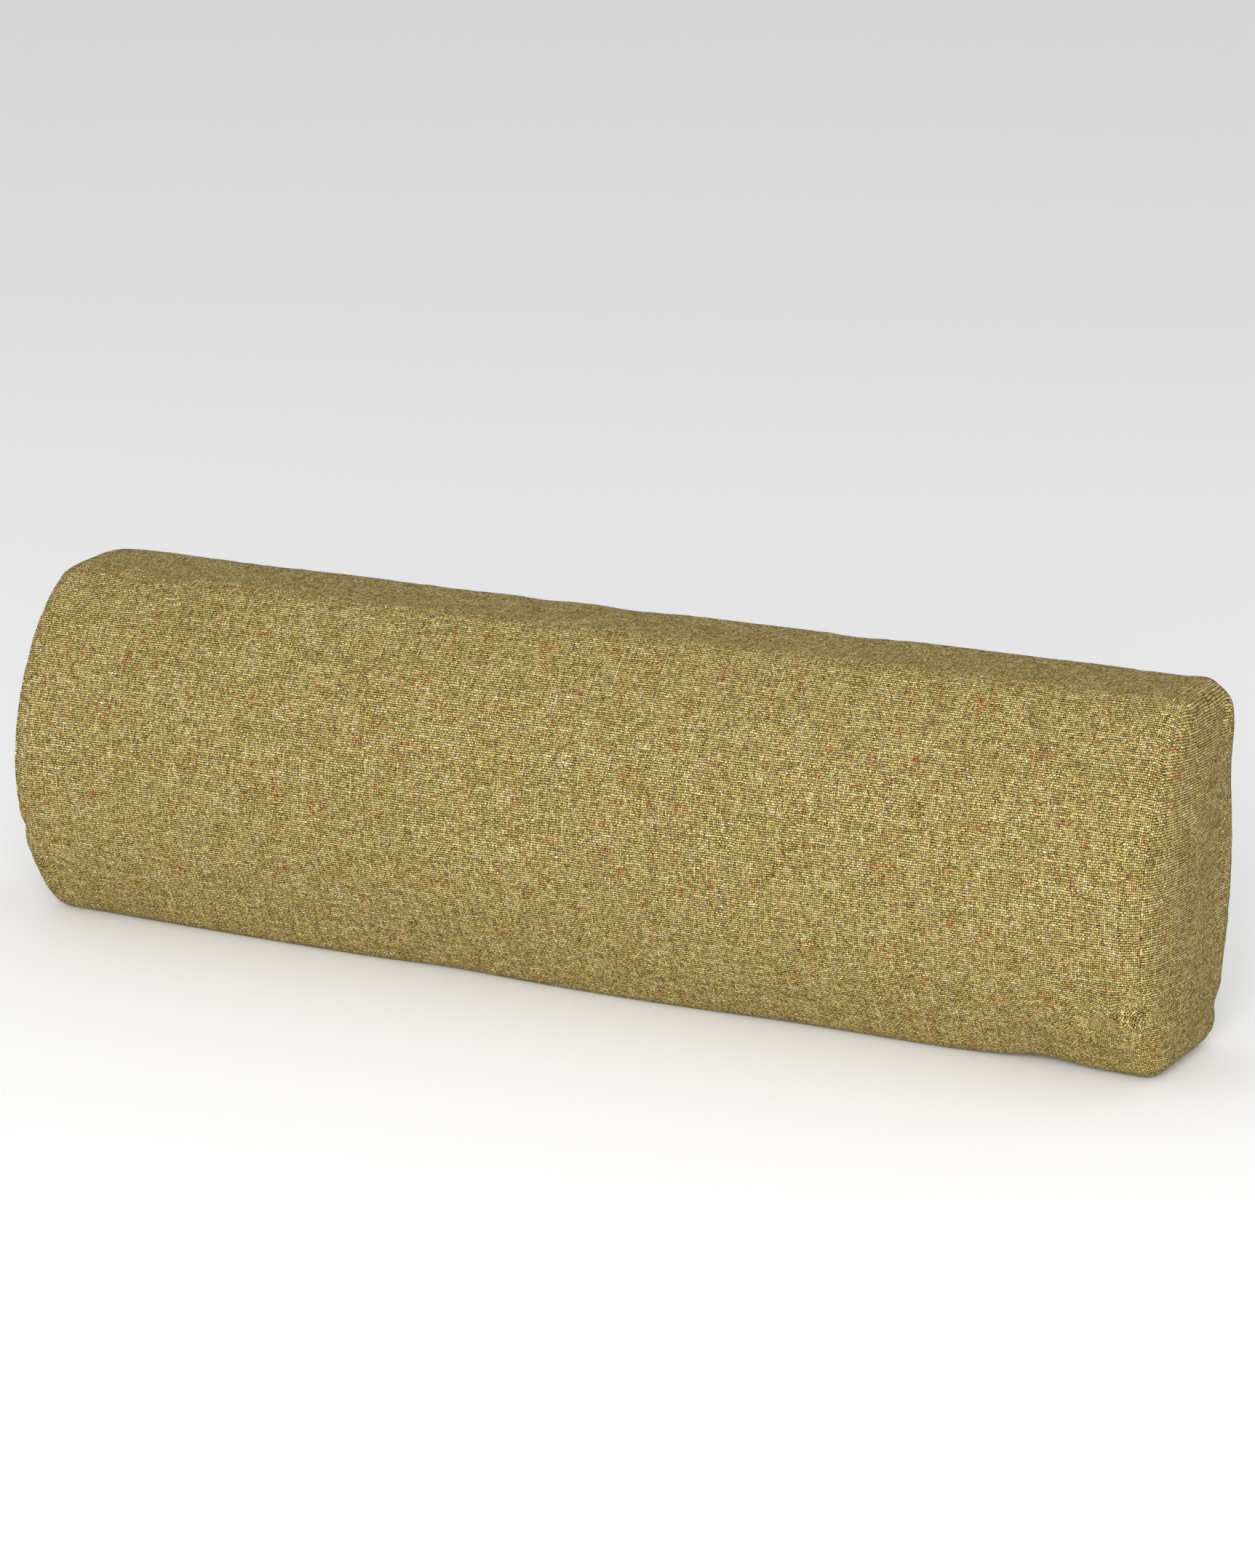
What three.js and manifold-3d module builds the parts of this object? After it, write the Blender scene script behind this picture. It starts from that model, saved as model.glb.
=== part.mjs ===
// Bolster pillow: a half-round foam bolster in a sewn, zipped fabric cover.
// Millimetres. X runs along the bolster, the flat back faces +Y, the rounded
// front faces -Y and +Z is up. The origin is the centre of the underside.

import * as THREE from 'three';
import { LoftGeometry } from 'three/addons/geometries/LoftGeometry.js';
import { mergeVertices } from 'three/addons/utils/BufferGeometryUtils.js';
import Module from 'manifold-3d';

const wasm = await Module();
wasm.setup();

// ---------- driving dimensions ----------

// the made-up bolster
const length = 680;
const height = 195;
const topFlat = 56;          // depth of the flat top, back edge to front edge
const bottomFlat = 75;       // depth of the flat underside
const crown = 44;            // rise of the rounded front above its chord
const endBulge = 6;          // doming of each end panel
const endRounding = 14;      // softened edge all round each end
const backRounding = 8;      // softened long edges of the flat back
const topFrontRounding = 20;
const bottomFrontRounding = 26;
const domeInset = 34;        // the end panel is flat inside this inset

// the layers, from the outside in
const coverThickness = 1.4;
const coverLooseness = 1.0;  // room between the cover and the inner case
const liningThickness = 0.6;
const layerGap = 0.4;
const waddingThickness = 10;
const pressedWadding = 1.8;  // thinnest the wadding may be pressed behind the zip

// the seams
const endSeamSet = 9;        // end seam, in from the very end
const backSeamSet = 2.3;     // back seam, in from the back plane
const seamGap = 0.4;         // between panels that are sewn together
const seatGap = 0.3;         // between small pieces that touch

// the zip
const zipHeight = 45;        // centre line, above the underside
const zipEndMargin = 50;     // from each end of the zip to the end of the bolster
const zipDip = 5;            // how far the back panels sink at the zip
const foldClearance = 1.35;  // from the slider's side to the folded fabric edge
const hemWidth = 11;
const hemCover = 2;          // flat fabric beyond each hem
const dipSlope = 10;         // width of the dip's sloping sides
const dipEndSlope = 12;
const dipEndRoom = 1;        // flat of the dip past the tip of the pull tab
const tapeWidth = 15;
const tapeThickness = 0.6;
const tapeTail = 8;          // tape past each end of the opening
const coilWidth = 2.5;
const coilHeight = 2.3;
const slotWidth = 0.9;       // between the two coils, for the slider's post
const stopLength = 4;
const stopProud = 0.3;       // stops stand this far over the coil

// the slider and its pull tab
const sliderLength = 13;
const sliderTaper = 2.1;     // the slider's narrow end is this much narrower
const plateThickness = 1.2;
const basePlateThickness = 1.0;
const slideClearance = 0.35;
const flangeThickness = 1.3;
const postWidth = 0.5;
const postLength = 3;
const bridgeWidth = 2.6;
const bridgeWall = 1.0;
const bridgeOpening = 2.8;   // length of the eye that holds the tab's crossbar
const bridgeClear = 1.75;    // height of that eye
const crossbarRadius = 0.6;
const tabLength = 26;
const tabWidth = 7;
const tabThickness = 1.2;
const tabWindow = 5.5;       // length of the window over the bridge
const tabClearance = 0.4;

// threads and label
const threadWidth = 0.7;
const threadHeight = 0.5;
const stitchSet = 7;         // topstitching, back from the folded edge
const bartackLength = 13;
const bartackWidth = 2;
const labelWidth = 43;
const labelHeight = 30;
const labelThickness = 0.4;
const labelBase = 90;        // height of the label's lower edge
const labelInset = 22;       // label edge, in from the end of the bolster

// how finely curves are faceted
const crownSteps = 18;
const filletSteps = 4;
const backSteps = 3;
const endSteps = 4;
const domeSteps = 2;
const smallestFillet = 2;
const beyond = 60;           // how far cutting boxes pass outside the bolster

// ---------- worked-out sizes ----------

// The front is one arc through the front edges of the flat top and underside.
const chordRun = bottomFlat - topFlat;
const chord = Math.hypot(chordRun, height);
const crownRadius = (chord * chord / 4 + crown * crown) / (2 * crown);
const centreBehindChord = crownRadius - crown;
const crownBack = (topFlat + bottomFlat) / 2 - centreBehindChord * height / chord;
const crownZ = height / 2 - centreBehindChord * chordRun / chord;
const depth = crownBack + crownRadius;
const backY = depth / 2;
const crownY = backY - crownBack;
const halfLength = length / 2;

const liningInset = coverThickness + coverLooseness;
const waddingInset = liningInset + liningThickness + layerGap;
const waddingInner = waddingInset + waddingThickness;
const foamInset = waddingInner + layerGap;

// depths at the zip, from the outside in
const foldOuter = backY - zipDip;
const foldInner = foldOuter - coverThickness;
const hemInner = foldInner - coverThickness;
const tapeOuter = hemInner - seatGap;
const tapeInner = tapeOuter - tapeThickness;
const coilInner = tapeOuter + seatGap;
const coilOuter = coilInner + coilHeight;
const topPlateInner = coilOuter + slideClearance;
const topPlateOuter = topPlateInner + plateThickness;
const basePlateOuter = tapeInner - slideClearance;
const basePlateInner = basePlateOuter - basePlateThickness;
const liningFloor = basePlateInner - layerGap;
const waddingFloor = liningFloor - liningThickness - layerGap;
const waddingInnerFloor = Math.min(backY - waddingInner, waddingFloor - pressedWadding);

// across the zip, from its centre line outwards
const coilCentre = slotWidth / 2 + coilWidth / 2;
const coilEdge = slotWidth / 2 + coilWidth;
const flangeInner = coilEdge + slideClearance;
const sliderHalfWidth = flangeInner + flangeThickness;
const foldHalf = sliderHalfWidth + foldClearance;
const dipHalfWidth = foldHalf + hemWidth + hemCover;

// along the zip, from its middle to its ends
const openingHalf = halfLength - zipEndMargin;
const coilEnd = openingHalf - stopLength - seatGap;
const sliderRest = coilEnd - sliderLength / 2;
const dipHalfLength = sliderRest + tabLength + dipEndRoom;
const hingeY = topPlateOuter + bridgeClear / 2;

// ---------- colours ----------

const tweed = { color: 0xa18f5c, roughness: 0.95, metalness: 0 };
const tape = { color: 0x6f6440, roughness: 0.85, metalness: 0 };
const nylon = { color: 0x5d5436, roughness: 0.45, metalness: 0 };
const nickel = { color: 0xb9b8b2, roughness: 0.3, metalness: 1 };
const thread = { color: 0x8d7c4b, roughness: 0.7, metalness: 0 };
const satin = { color: 0xf1efe8, roughness: 0.5, metalness: 0 };
const caseCloth = { color: 0xeceae2, roughness: 0.9, metalness: 0 };
const fibre = { color: 0xf6f5f1, roughness: 1, metalness: 0 };
const foam = { color: 0xe9dfb6, roughness: 0.95, metalness: 0 };

// ---------- solids and booleans ----------

function solid(geometry) {
	const bare = new THREE.BufferGeometry();
	bare.setAttribute('position', geometry.attributes.position);
	bare.setIndex(geometry.index);
	const merged = mergeVertices(bare, 1e-5);
	return new wasm.Manifold(new wasm.Mesh({
		numProp: 3,
		vertProperties: new Float32Array(merged.attributes.position.array),
		triVerts: new Uint32Array(merged.index.array),
	}));
}

function meshOf(name, shape, finish) {
	const { vertProperties, triVerts } = shape.getMesh();
	const geometry = new THREE.BufferGeometry();
	geometry.setAttribute('position', new THREE.BufferAttribute(vertProperties, 3));
	geometry.setIndex(new THREE.BufferAttribute(triVerts, 1));
	geometry.computeVertexNormals();
	const mesh = new THREE.Mesh(geometry, new THREE.MeshStandardMaterial(finish));
	mesh.name = name;
	return mesh;
}

// A box given by its two limits along each axis.
function block([x0, x1], [y0, y1], [z0, z1]) {
	const box = new THREE.BoxGeometry(x1 - x0, y1 - y0, z1 - z0);
	box.translate((x0 + x1) / 2, (y0 + y1) / 2, (z0 + z1) / 2);
	return solid(box);
}

// A shape drawn on X and Z, given its thickness along Y up to the level top.
function plate(shape, top, thickness) {
	const slab = new THREE.ExtrudeGeometry(shape, { depth: thickness, bevelEnabled: false, curveSegments: 6 });
	slab.rotateX(Math.PI / 2);
	slab.translate(0, top, 0);
	return solid(slab);
}

// ---------- the half-round body ----------

function arc(y, z, radius, from, to, steps) {
	const points = [];
	for (let i = 0; i <= steps; i++) {
		const angle = from + (to - from) * i / steps;
		points.push([y + radius * Math.cos(angle), z + radius * Math.sin(angle)]);
	}
	return points;
}

// The cross-section on Y and Z, drawn in from the outside by inset. A fillet
// between a flat and the crown has its centre one radius inside both.
function outline(inset) {
	const fillet = (radius) => Math.max(radius - inset, smallestFillet);
	const rBack = fillet(backRounding);
	const rTop = fillet(topFrontRounding);
	const rBottom = fillet(bottomFrontRounding);
	const radius = crownRadius - inset;
	const yBack = backY - inset - rBack;
	const zTop = height - inset - rTop;
	const zBottom = inset + rBottom;
	const yTop = crownY - Math.sqrt((radius - rTop) ** 2 - (zTop - crownZ) ** 2);
	const yBottom = crownY - Math.sqrt((radius - rBottom) ** 2 - (zBottom - crownZ) ** 2);
	const crownStart = Math.atan2(zTop - crownZ, yTop - crownY);
	const crownEnd = Math.atan2(zBottom - crownZ, yBottom - crownY) + 2 * Math.PI;
	return [
		...arc(yBack, inset + rBack, rBack, -Math.PI / 2, 0, backSteps),
		...arc(yBack, height - inset - rBack, rBack, 0, Math.PI / 2, backSteps),
		...arc(yTop, zTop, rTop, Math.PI / 2, crownStart, filletSteps),
		...arc(crownY, crownZ, radius, crownStart, crownEnd, crownSteps).slice(1, -1),
		...arc(yBottom, zBottom, rBottom, crownEnd, 3 * Math.PI / 2, filletSteps),
	];
}

// The whole body, inset all over: its ends round off and then rise in a dome.
function body(inset) {
	const rounding = Math.max(endRounding - inset, smallestFillet);
	const dome = (total) => endBulge * Math.max(1 - total / domeInset, 0) ** 2;
	const rows = [];
	for (let i = 0; i <= endSteps; i++) {
		const angle = i / endSteps * Math.PI / 2;
		const total = inset + rounding * (1 - Math.cos(angle));
		rows.push([halfLength - inset - dome(total) - rounding * (1 - Math.sin(angle)), total]);
	}
	for (let i = 1; i <= domeSteps; i++) {
		const total = inset + rounding + (domeInset - inset - rounding) * i / domeSteps;
		rows.push([halfLength - inset - dome(total), total]);
	}
	const section = (x, total) => outline(total).map(([y, z]) => new THREE.Vector3(x, y, z));
	const right = rows.map(([x, total]) => section(x, total));
	const left = rows.map(([x, total]) => section(-x, total)).reverse();
	return solid(new LoftGeometry([...left, ...right], { capStart: true, capEnd: true }));
}

// The long shallow dip at the zip, from plane down to floor, taken out of a body.
function dipped(shape, plane, floor) {
	if (floor >= plane) return shape;
	const ring = (y, x, z) => [[-x, -z], [-x, z], [x, z], [x, -z]]
		.map(([a, b]) => new THREE.Vector3(a, y, zipHeight + b));
	const wideX = dipHalfLength + dipEndSlope;
	const wideZ = dipHalfWidth + dipSlope;
	return shape.subtract(solid(new LoftGeometry([
		ring(floor, dipHalfLength, dipHalfWidth),
		ring(plane, wideX, wideZ),
		ring(plane + beyond, wideX, wideZ),
	], { capStart: true, capEnd: true })));
}

// ---------- where the panels are cut ----------

const acrossY = [-depth, depth + beyond];
const acrossZ = [-beyond, height + beyond];

function endZone(side, from) {
	const span = side > 0 ? [from, halfLength + beyond] : [-halfLength - beyond, -from];
	return block(span, acrossY, acrossZ);
}

function backZone(from) {
	const edge = block([-halfLength - beyond, halfLength + beyond], [from, backY + beyond], acrossZ);
	const inside = block(
		[-dipHalfLength - dipEndSlope - 1, dipHalfLength + dipEndSlope + 1],
		[liningFloor - beyond / 3, backY],
		[backRounding, height - backRounding],
	);
	return edge.add(inside);
}

// A sewn case: two ends, a back, and one panel over the top, front and underside.
function casePanels(inset, thickness, floor) {
	const plane = backY - inset;
	const outer = dipped(body(inset), plane, floor);
	const inner = dipped(body(inset + thickness), plane - thickness, floor - thickness);
	const shell = outer.subtract(inner);
	const endSeam = halfLength - inset - endSeamSet;
	const backSeam = plane - backSeamSet;
	const ends = endZone(1, endSeam - seamGap).add(endZone(-1, endSeam - seamGap));
	const tube = shell.subtract(ends);
	return {
		right: shell.intersect(endZone(1, endSeam)),
		left: shell.intersect(endZone(-1, endSeam)),
		back: tube.intersect(backZone(backSeam)),
		wrap: tube.subtract(backZone(backSeam - seamGap)),
	};
}

// ---------- cover ----------

// Half of the back, above (+1) or below (-1) the zip, with its folded hem.
function backHalf(back, side) {
	const above = (from, to) => side > 0
		? [zipHeight + from, zipHeight + to]
		: [zipHeight - to, zipHeight - from];
	const zone = block([-length, length], acrossY, above(seamGap / 2, height + beyond));
	const opening = block([-openingHalf, openingHalf], acrossY, above(-1, foldHalf));
	const hem = block(
		[-openingHalf, openingHalf],
		[hemInner, foldInner + coverThickness / 2],
		above(foldHalf, foldHalf + hemWidth),
	);
	return back.intersect(zone).subtract(opening).add(hem);
}

function makeCover() {
	const panels = casePanels(0, coverThickness, foldOuter);
	return [
		meshOf('cover_front_wrap', panels.wrap, tweed),
		meshOf('cover_end_right', panels.right, tweed),
		meshOf('cover_end_left', panels.left, tweed),
		meshOf('cover_back_upper', backHalf(panels.back, 1), tweed),
		meshOf('cover_back_lower', backHalf(panels.back, -1), tweed),
	];
}

// ---------- inner case and filling ----------

function makeLining() {
	const panels = casePanels(liningInset, liningThickness, liningFloor);
	return [
		meshOf('lining_front_wrap', panels.wrap, caseCloth),
		meshOf('lining_back', panels.back, caseCloth),
		meshOf('lining_end_right', panels.right, caseCloth),
		meshOf('lining_end_left', panels.left, caseCloth),
	];
}

function makeFilling() {
	const outer = dipped(body(waddingInset), backY - waddingInset, waddingFloor);
	const inner = dipped(body(waddingInner), backY - waddingInner, waddingInnerFloor);
	const layer = outer.subtract(inner);
	const seam = halfLength - waddingInner - endBulge - smallestFillet;
	const ends = endZone(1, seam - layerGap).add(endZone(-1, seam - layerGap));
	const core = dipped(body(foamInset), backY - foamInset, waddingInnerFloor - layerGap);
	return [
		meshOf('wadding_wrap', layer.subtract(ends), fibre),
		meshOf('wadding_end_right', layer.intersect(endZone(1, seam)), fibre),
		meshOf('wadding_end_left', layer.intersect(endZone(-1, seam)), fibre),
		meshOf('foam_core', core, foam),
	];
}

// ---------- zip ----------

// The two limits along Z of something from near to far off the zip's centre line.
function beside(side, near, far) {
	return side > 0 ? [zipHeight + near, zipHeight + far] : [zipHeight - far, zipHeight - near];
}

function makeTape(name, side) {
	const reach = openingHalf + tapeTail;
	const near = slotWidth / 2 + seatGap;
	return meshOf(name, block([-reach, reach], [tapeInner, tapeOuter], beside(side, near, near + tapeWidth)), tape);
}

// A coil is a long bar with its corners taken off.
function makeCoil(name, side) {
	const corner = Math.min(coilWidth, coilHeight) / 4;
	const y = coilHeight / 2;
	const z = coilWidth / 2;
	const shape = new THREE.Shape([
		[-z + corner, -y], [z - corner, -y], [z, -y + corner], [z, y - corner],
		[z - corner, y], [-z + corner, y], [-z, y - corner], [-z, -y + corner],
	].map(([a, b]) => new THREE.Vector2(a, b)));
	const bar = new THREE.ExtrudeGeometry(shape, { depth: 2 * coilEnd, bevelEnabled: false });
	bar.rotateY(Math.PI / 2);
	bar.translate(-coilEnd, coilInner + y, zipHeight + side * coilCentre);
	return meshOf(name, solid(bar), nylon);
}

function makeTopStop(name, side) {
	return meshOf(name, block(
		[coilEnd + seatGap, openingHalf],
		[coilInner, coilOuter + stopProud],
		beside(side, slotWidth / 2, coilEdge),
	), nickel);
}

function makeBottomStop() {
	return meshOf('zip_bottom_stop', block(
		[-openingHalf, -coilEnd - seatGap],
		[coilInner, coilOuter + stopProud],
		[zipHeight - coilEdge, zipHeight + coilEdge],
	), nickel);
}

// The slider seen from outside: wide where the coils part, narrow behind.
function sliderShape() {
	const x = sliderLength / 2;
	const wide = sliderHalfWidth;
	const nose = wide - sliderTaper / 2;
	const shape = new THREE.Shape();
	shape.moveTo(-x + 1, -nose);
	shape.lineTo(0, -wide);
	shape.lineTo(x - 2, -wide);
	shape.quadraticCurveTo(x, -wide, x, -wide + 2);
	shape.lineTo(x, wide - 2);
	shape.quadraticCurveTo(x, wide, x - 2, wide);
	shape.lineTo(0, wide);
	shape.lineTo(-x + 1, nose);
	shape.quadraticCurveTo(-x, nose, -x, nose - 1);
	shape.lineTo(-x, -nose + 1);
	shape.quadraticCurveTo(-x, -nose, -x + 1, -nose);
	return shape;
}

function makeSlider() {
	const x = sliderLength / 2;
	const flange = (side) => {
		const span = side > 0 ? [flangeInner, sliderHalfWidth] : [-sliderHalfWidth, -flangeInner];
		return block([-x, x], [tapeOuter + seatGap, topPlateInner + 0.2], span);
	};
	const post = block(
		[x - postLength - 1, x - 1],
		[basePlateInner + 0.2, topPlateInner + 0.2],
		[-postWidth / 2, postWidth / 2],
	);
	const bridgeHalf = bridgeOpening / 2 + bridgeWall;
	const bridgeTop = topPlateOuter + bridgeClear + bridgeWall;
	const bridge = block([-bridgeHalf, bridgeHalf], [topPlateOuter - 0.2, bridgeTop], [-bridgeWidth / 2, bridgeWidth / 2])
		.subtract(block(
			[-bridgeOpening / 2, bridgeOpening / 2],
			[topPlateOuter, topPlateOuter + bridgeClear],
			[-bridgeWidth, bridgeWidth],
		));
	const shape = plate(sliderShape(), topPlateOuter, plateThickness)
		.add(plate(sliderShape(), basePlateOuter, basePlateThickness))
		.add(flange(1).add(flange(-1)).intersect(plate(sliderShape(), backY, backY)))
		.add(post)
		.add(bridge);
	const mesh = meshOf('zip_slider_body', shape, nickel);
	mesh.position.set(sliderRest, 0, zipHeight);
	return mesh;
}

// The tab lies back along the closed zip, hung on the bridge by its crossbar.
function makePullTab() {
	const half = tabWidth / 2;
	const windowHalf = bridgeWidth / 2 + tabClearance;
	const end = -tabLength;
	const shape = new THREE.Shape();
	shape.moveTo(0, -half + 1);
	shape.lineTo(0, half - 1);
	shape.quadraticCurveTo(0, half, -1, half);
	shape.lineTo(end + 3, half);
	shape.quadraticCurveTo(end, half, end, half - 3);
	shape.lineTo(end, -half + 3);
	shape.quadraticCurveTo(end, -half, end + 3, -half);
	shape.lineTo(-1, -half);
	shape.quadraticCurveTo(0, -half, 0, -half + 1);
	const tab = plate(shape, tabThickness / 2, tabThickness);
	const window = block([-tabWindow, beyond], [-tabThickness, tabThickness], [-windowHalf, windowHalf]);
	const bar = new THREE.CylinderGeometry(crossbarRadius, crossbarRadius, 2 * windowHalf + 1, 12);
	bar.rotateX(Math.PI / 2);
	const shaped = tab.translate([crossbarRadius, 0, 0]).subtract(window).add(solid(bar));
	const mesh = meshOf('zip_pull_tab', shaped, nickel);
	mesh.position.set(sliderRest, hingeY, zipHeight);
	return mesh;
}

function makeTopstitch(name, side) {
	const near = foldHalf + stitchSet;
	return meshOf(name, block(
		[-openingHalf, openingHalf],
		[foldOuter + seatGap, foldOuter + seatGap + threadHeight],
		beside(side, near, near + threadWidth),
	), thread);
}

function makeBartack(name, side) {
	const near = openingHalf + seatGap;
	const span = side > 0 ? [near, near + bartackWidth] : [-near - bartackWidth, -near];
	return meshOf(name, block(
		span,
		[foldOuter + seatGap, foldOuter + seatGap + threadHeight],
		[zipHeight - bartackLength / 2, zipHeight + bartackLength / 2],
	), thread);
}

function makeZip() {
	return [
		makeTape('zip_tape_upper', 1),
		makeTape('zip_tape_lower', -1),
		makeCoil('zip_coil_upper', 1),
		makeCoil('zip_coil_lower', -1),
		makeTopStop('zip_top_stop_upper', 1),
		makeTopStop('zip_top_stop_lower', -1),
		makeBottomStop(),
		makeSlider(),
		makePullTab(),
		makeTopstitch('zip_stitch_upper', 1),
		makeTopstitch('zip_stitch_lower', -1),
		makeBartack('bartack_right', 1),
		makeBartack('bartack_left', -1),
	];
}

// A blank satin label, sewn into the end seam and lying inside the cover.
function makeLabel() {
	const right = halfLength - labelInset;
	const outer = backY - coverThickness - (coverLooseness - labelThickness) / 2;
	return meshOf('care_label', block(
		[right - labelWidth, right],
		[outer - labelThickness, outer],
		[labelBase, labelBase + labelHeight],
	), satin);
}

// ---------- the whole bolster ----------

const bolster = new THREE.Group();
bolster.name = 'bolster_pillow';
bolster.add(...makeCover(), ...makeLining(), ...makeFilling(), ...makeZip(), makeLabel());

export default bolster;
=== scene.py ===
# %% [markdown]
# # A half-round bolster pillow
# The bolster is a block of foam, flat at the back and rounded at the front, in a sewn cover of
# olive tweed. Under the tweed are a thin inner case and a layer of wadding, and the back of the
# cover closes with a zip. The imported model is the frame: it says where each piece is and how the
# zip moves. This file makes the cloth, the padding and the small metal and nylon pieces round it.

import math

import bmesh
import bpy
import numpy as np
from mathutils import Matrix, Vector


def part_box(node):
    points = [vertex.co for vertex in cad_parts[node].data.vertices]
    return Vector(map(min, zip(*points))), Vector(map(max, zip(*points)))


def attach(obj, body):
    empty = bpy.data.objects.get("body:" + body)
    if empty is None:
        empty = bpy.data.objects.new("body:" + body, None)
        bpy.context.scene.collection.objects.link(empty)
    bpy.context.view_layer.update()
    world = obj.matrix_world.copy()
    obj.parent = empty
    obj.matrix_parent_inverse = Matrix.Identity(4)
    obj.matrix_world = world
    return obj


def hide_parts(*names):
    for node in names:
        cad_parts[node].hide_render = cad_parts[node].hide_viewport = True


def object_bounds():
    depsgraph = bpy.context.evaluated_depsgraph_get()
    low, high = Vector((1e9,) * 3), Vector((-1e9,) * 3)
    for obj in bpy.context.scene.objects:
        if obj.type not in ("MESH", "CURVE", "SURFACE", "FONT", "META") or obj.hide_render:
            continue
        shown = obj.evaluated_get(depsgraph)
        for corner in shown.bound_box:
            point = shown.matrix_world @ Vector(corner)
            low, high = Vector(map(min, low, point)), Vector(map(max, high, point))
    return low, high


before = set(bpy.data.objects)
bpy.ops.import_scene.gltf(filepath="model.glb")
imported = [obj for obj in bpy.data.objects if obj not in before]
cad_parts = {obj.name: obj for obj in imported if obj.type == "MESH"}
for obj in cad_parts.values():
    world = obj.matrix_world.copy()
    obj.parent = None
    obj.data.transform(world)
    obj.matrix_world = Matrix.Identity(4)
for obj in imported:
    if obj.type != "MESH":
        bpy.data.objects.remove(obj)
cad_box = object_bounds()
print("the frame measures", [round(b - a, 4) for a, b in zip(*cad_box)])

# %% [markdown]
# ## The camera
# The bolster is seen from the right of its front and a little above it, from well back and through
# a long lens. The camera comes first, so that everything after it is judged from there. It is
# placed by two angles and a distance, because those are what a person walking round it changes.

# %% Camera
mm = 0.001


def from_angles(azimuth, elevation):
    """The unit vector towards a viewer: azimuth turns from the front, -Y, towards +X."""
    a, e = math.radians(azimuth), math.radians(elevation)
    return np.array([math.sin(a) * math.cos(e), -math.cos(a) * math.cos(e), math.sin(e)])


def looking(data, aim, azimuth, elevation, distance):
    """Puts a camera or a lamp at that distance and those angles from the aim, turned to face it."""
    piece = bpy.data.objects.new(data.name, data)
    bpy.context.collection.objects.link(piece)
    towards = from_angles(azimuth, elevation)
    piece.location = np.array(aim) + towards * distance
    piece.rotation_euler = Vector(-towards).to_track_quat("-Z", "Y").to_euler()
    return piece


lens_length = 101.9
aimed_at = (24.3 * mm, -3.3 * mm, 113.7 * mm)
camera_azimuth, camera_elevation = 27.1, 15.6
camera_distance = 2.368

camera_data = bpy.data.cameras.new("camera")
camera_data.lens = lens_length
camera = looking(camera_data, aimed_at, camera_azimuth, camera_elevation, camera_distance)
bpy.context.scene.camera = camera
print("camera at", [round(v, 3) for v in camera.location])

# %% [markdown]
# ## The section
# Seen from its end the bolster is a letter D with a flat top and a flat underside. The front is one
# arc, and every corner is a smaller arc. The section is kept as one closed line, measured by the
# distance s along it, so that any layer can ask for the point, and the way the surface faces, at s.
# The line starts half-way up the back and runs up, over the top, down the front and back beneath.

# %% Sizes of the body
end_slack = 5 * mm
half_length = cad_box[1].x + end_slack
height = cad_box[1].z
back_y = cad_box[1].y

top_flat = 56 * mm
bottom_flat = 75 * mm
crown = 44 * mm
back_round = 8 * mm
top_round = 20 * mm
bottom_round = 18 * mm
end_round = 10 * mm
end_bulge = 9 * mm
dome_inset = 50 * mm

chord_run = bottom_flat - top_flat
chord = math.hypot(chord_run, height)
crown_radius = (chord**2 / 4 + crown**2) / (2 * crown)
crown_y = back_y - (top_flat + bottom_flat) / 2 + (crown_radius - crown) * height / chord
crown_z = height / 2 - (crown_radius - crown) * chord_run / chord
print(f"front arc of {crown_radius / mm:.0f} mm radius")


# %% The section as a line
def fillet_centre(radius, z):
    """How far across, at height z, a circle of this radius lies when it touches the front arc."""
    return crown_y - math.sqrt((crown_radius - radius) ** 2 - (z - crown_z) ** 2)


def section_line(step=0.3 * mm):
    """Arcs joined by flats: s, y, z and the angle that the surface faces, 0 for +Y and 90 for +Z."""
    top_z, low_z = height - top_round, bottom_round
    top_y, low_y = fillet_centre(top_round, top_z), fillet_centre(bottom_round, low_z)
    start = math.degrees(math.atan2(top_z - crown_z, top_y - crown_y))
    end = math.degrees(math.atan2(low_z - crown_z, low_y - crown_y)) + 360
    arcs = (
        (back_y - back_round, height - back_round, back_round, 0, 90),
        (top_y, top_z, top_round, 90, start),
        (crown_y, crown_z, crown_radius, start, end),
        (low_y, low_z, bottom_round, end, 270),
        (back_y - back_round, back_round, back_round, 270, 360),
    )
    parts = [np.array([[back_y, height / 2, 0]])]
    for y, z, radius, first, last in arcs:
        turn = np.linspace(first, last, int(radius * math.radians(last - first) / step) + 2)
        rad = np.radians(turn)
        parts.append(np.stack([y + radius * np.cos(rad), z + radius * np.sin(rad), turn], axis=1))
    parts.append(np.array([[back_y, height / 2, 360]]))
    y, z, turn = np.concatenate(parts).T
    s = np.concatenate([[0], np.cumsum(np.hypot(np.diff(y), np.diff(z)))])
    return s, y, z, turn


line_s, line_y, line_z, line_turn = section_line()
girth = line_s[-1]
section_area = abs(np.sum(line_y[:-1] * line_z[1:] - line_y[1:] * line_z[:-1])) / 2


def around(s):
    """The section at distance s: y and z, and the outward direction's part along each."""
    s = np.mod(s, girth)
    turn = np.radians(np.interp(s, line_s, line_turn))
    return np.interp(s, line_s, line_y), np.interp(s, line_s, line_z), np.cos(turn), np.sin(turn)


def nearest_s(y, z):
    """The distance s of the point of the line that is nearest to y, z."""
    return float(line_s[np.argmin(np.hypot(line_y - y, line_z - z))])


seam_top = float(np.interp(45, line_turn, line_s))
seam_low = float(np.interp(315, line_turn, line_s))
corner_top = nearest_s(back_y - top_flat, height)
corner_low = nearest_s(back_y - bottom_flat, 0)
print(f"girth {girth / mm:.0f} mm, seams at {seam_top / mm:.0f} and {seam_low / mm:.0f} mm round it")

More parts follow.
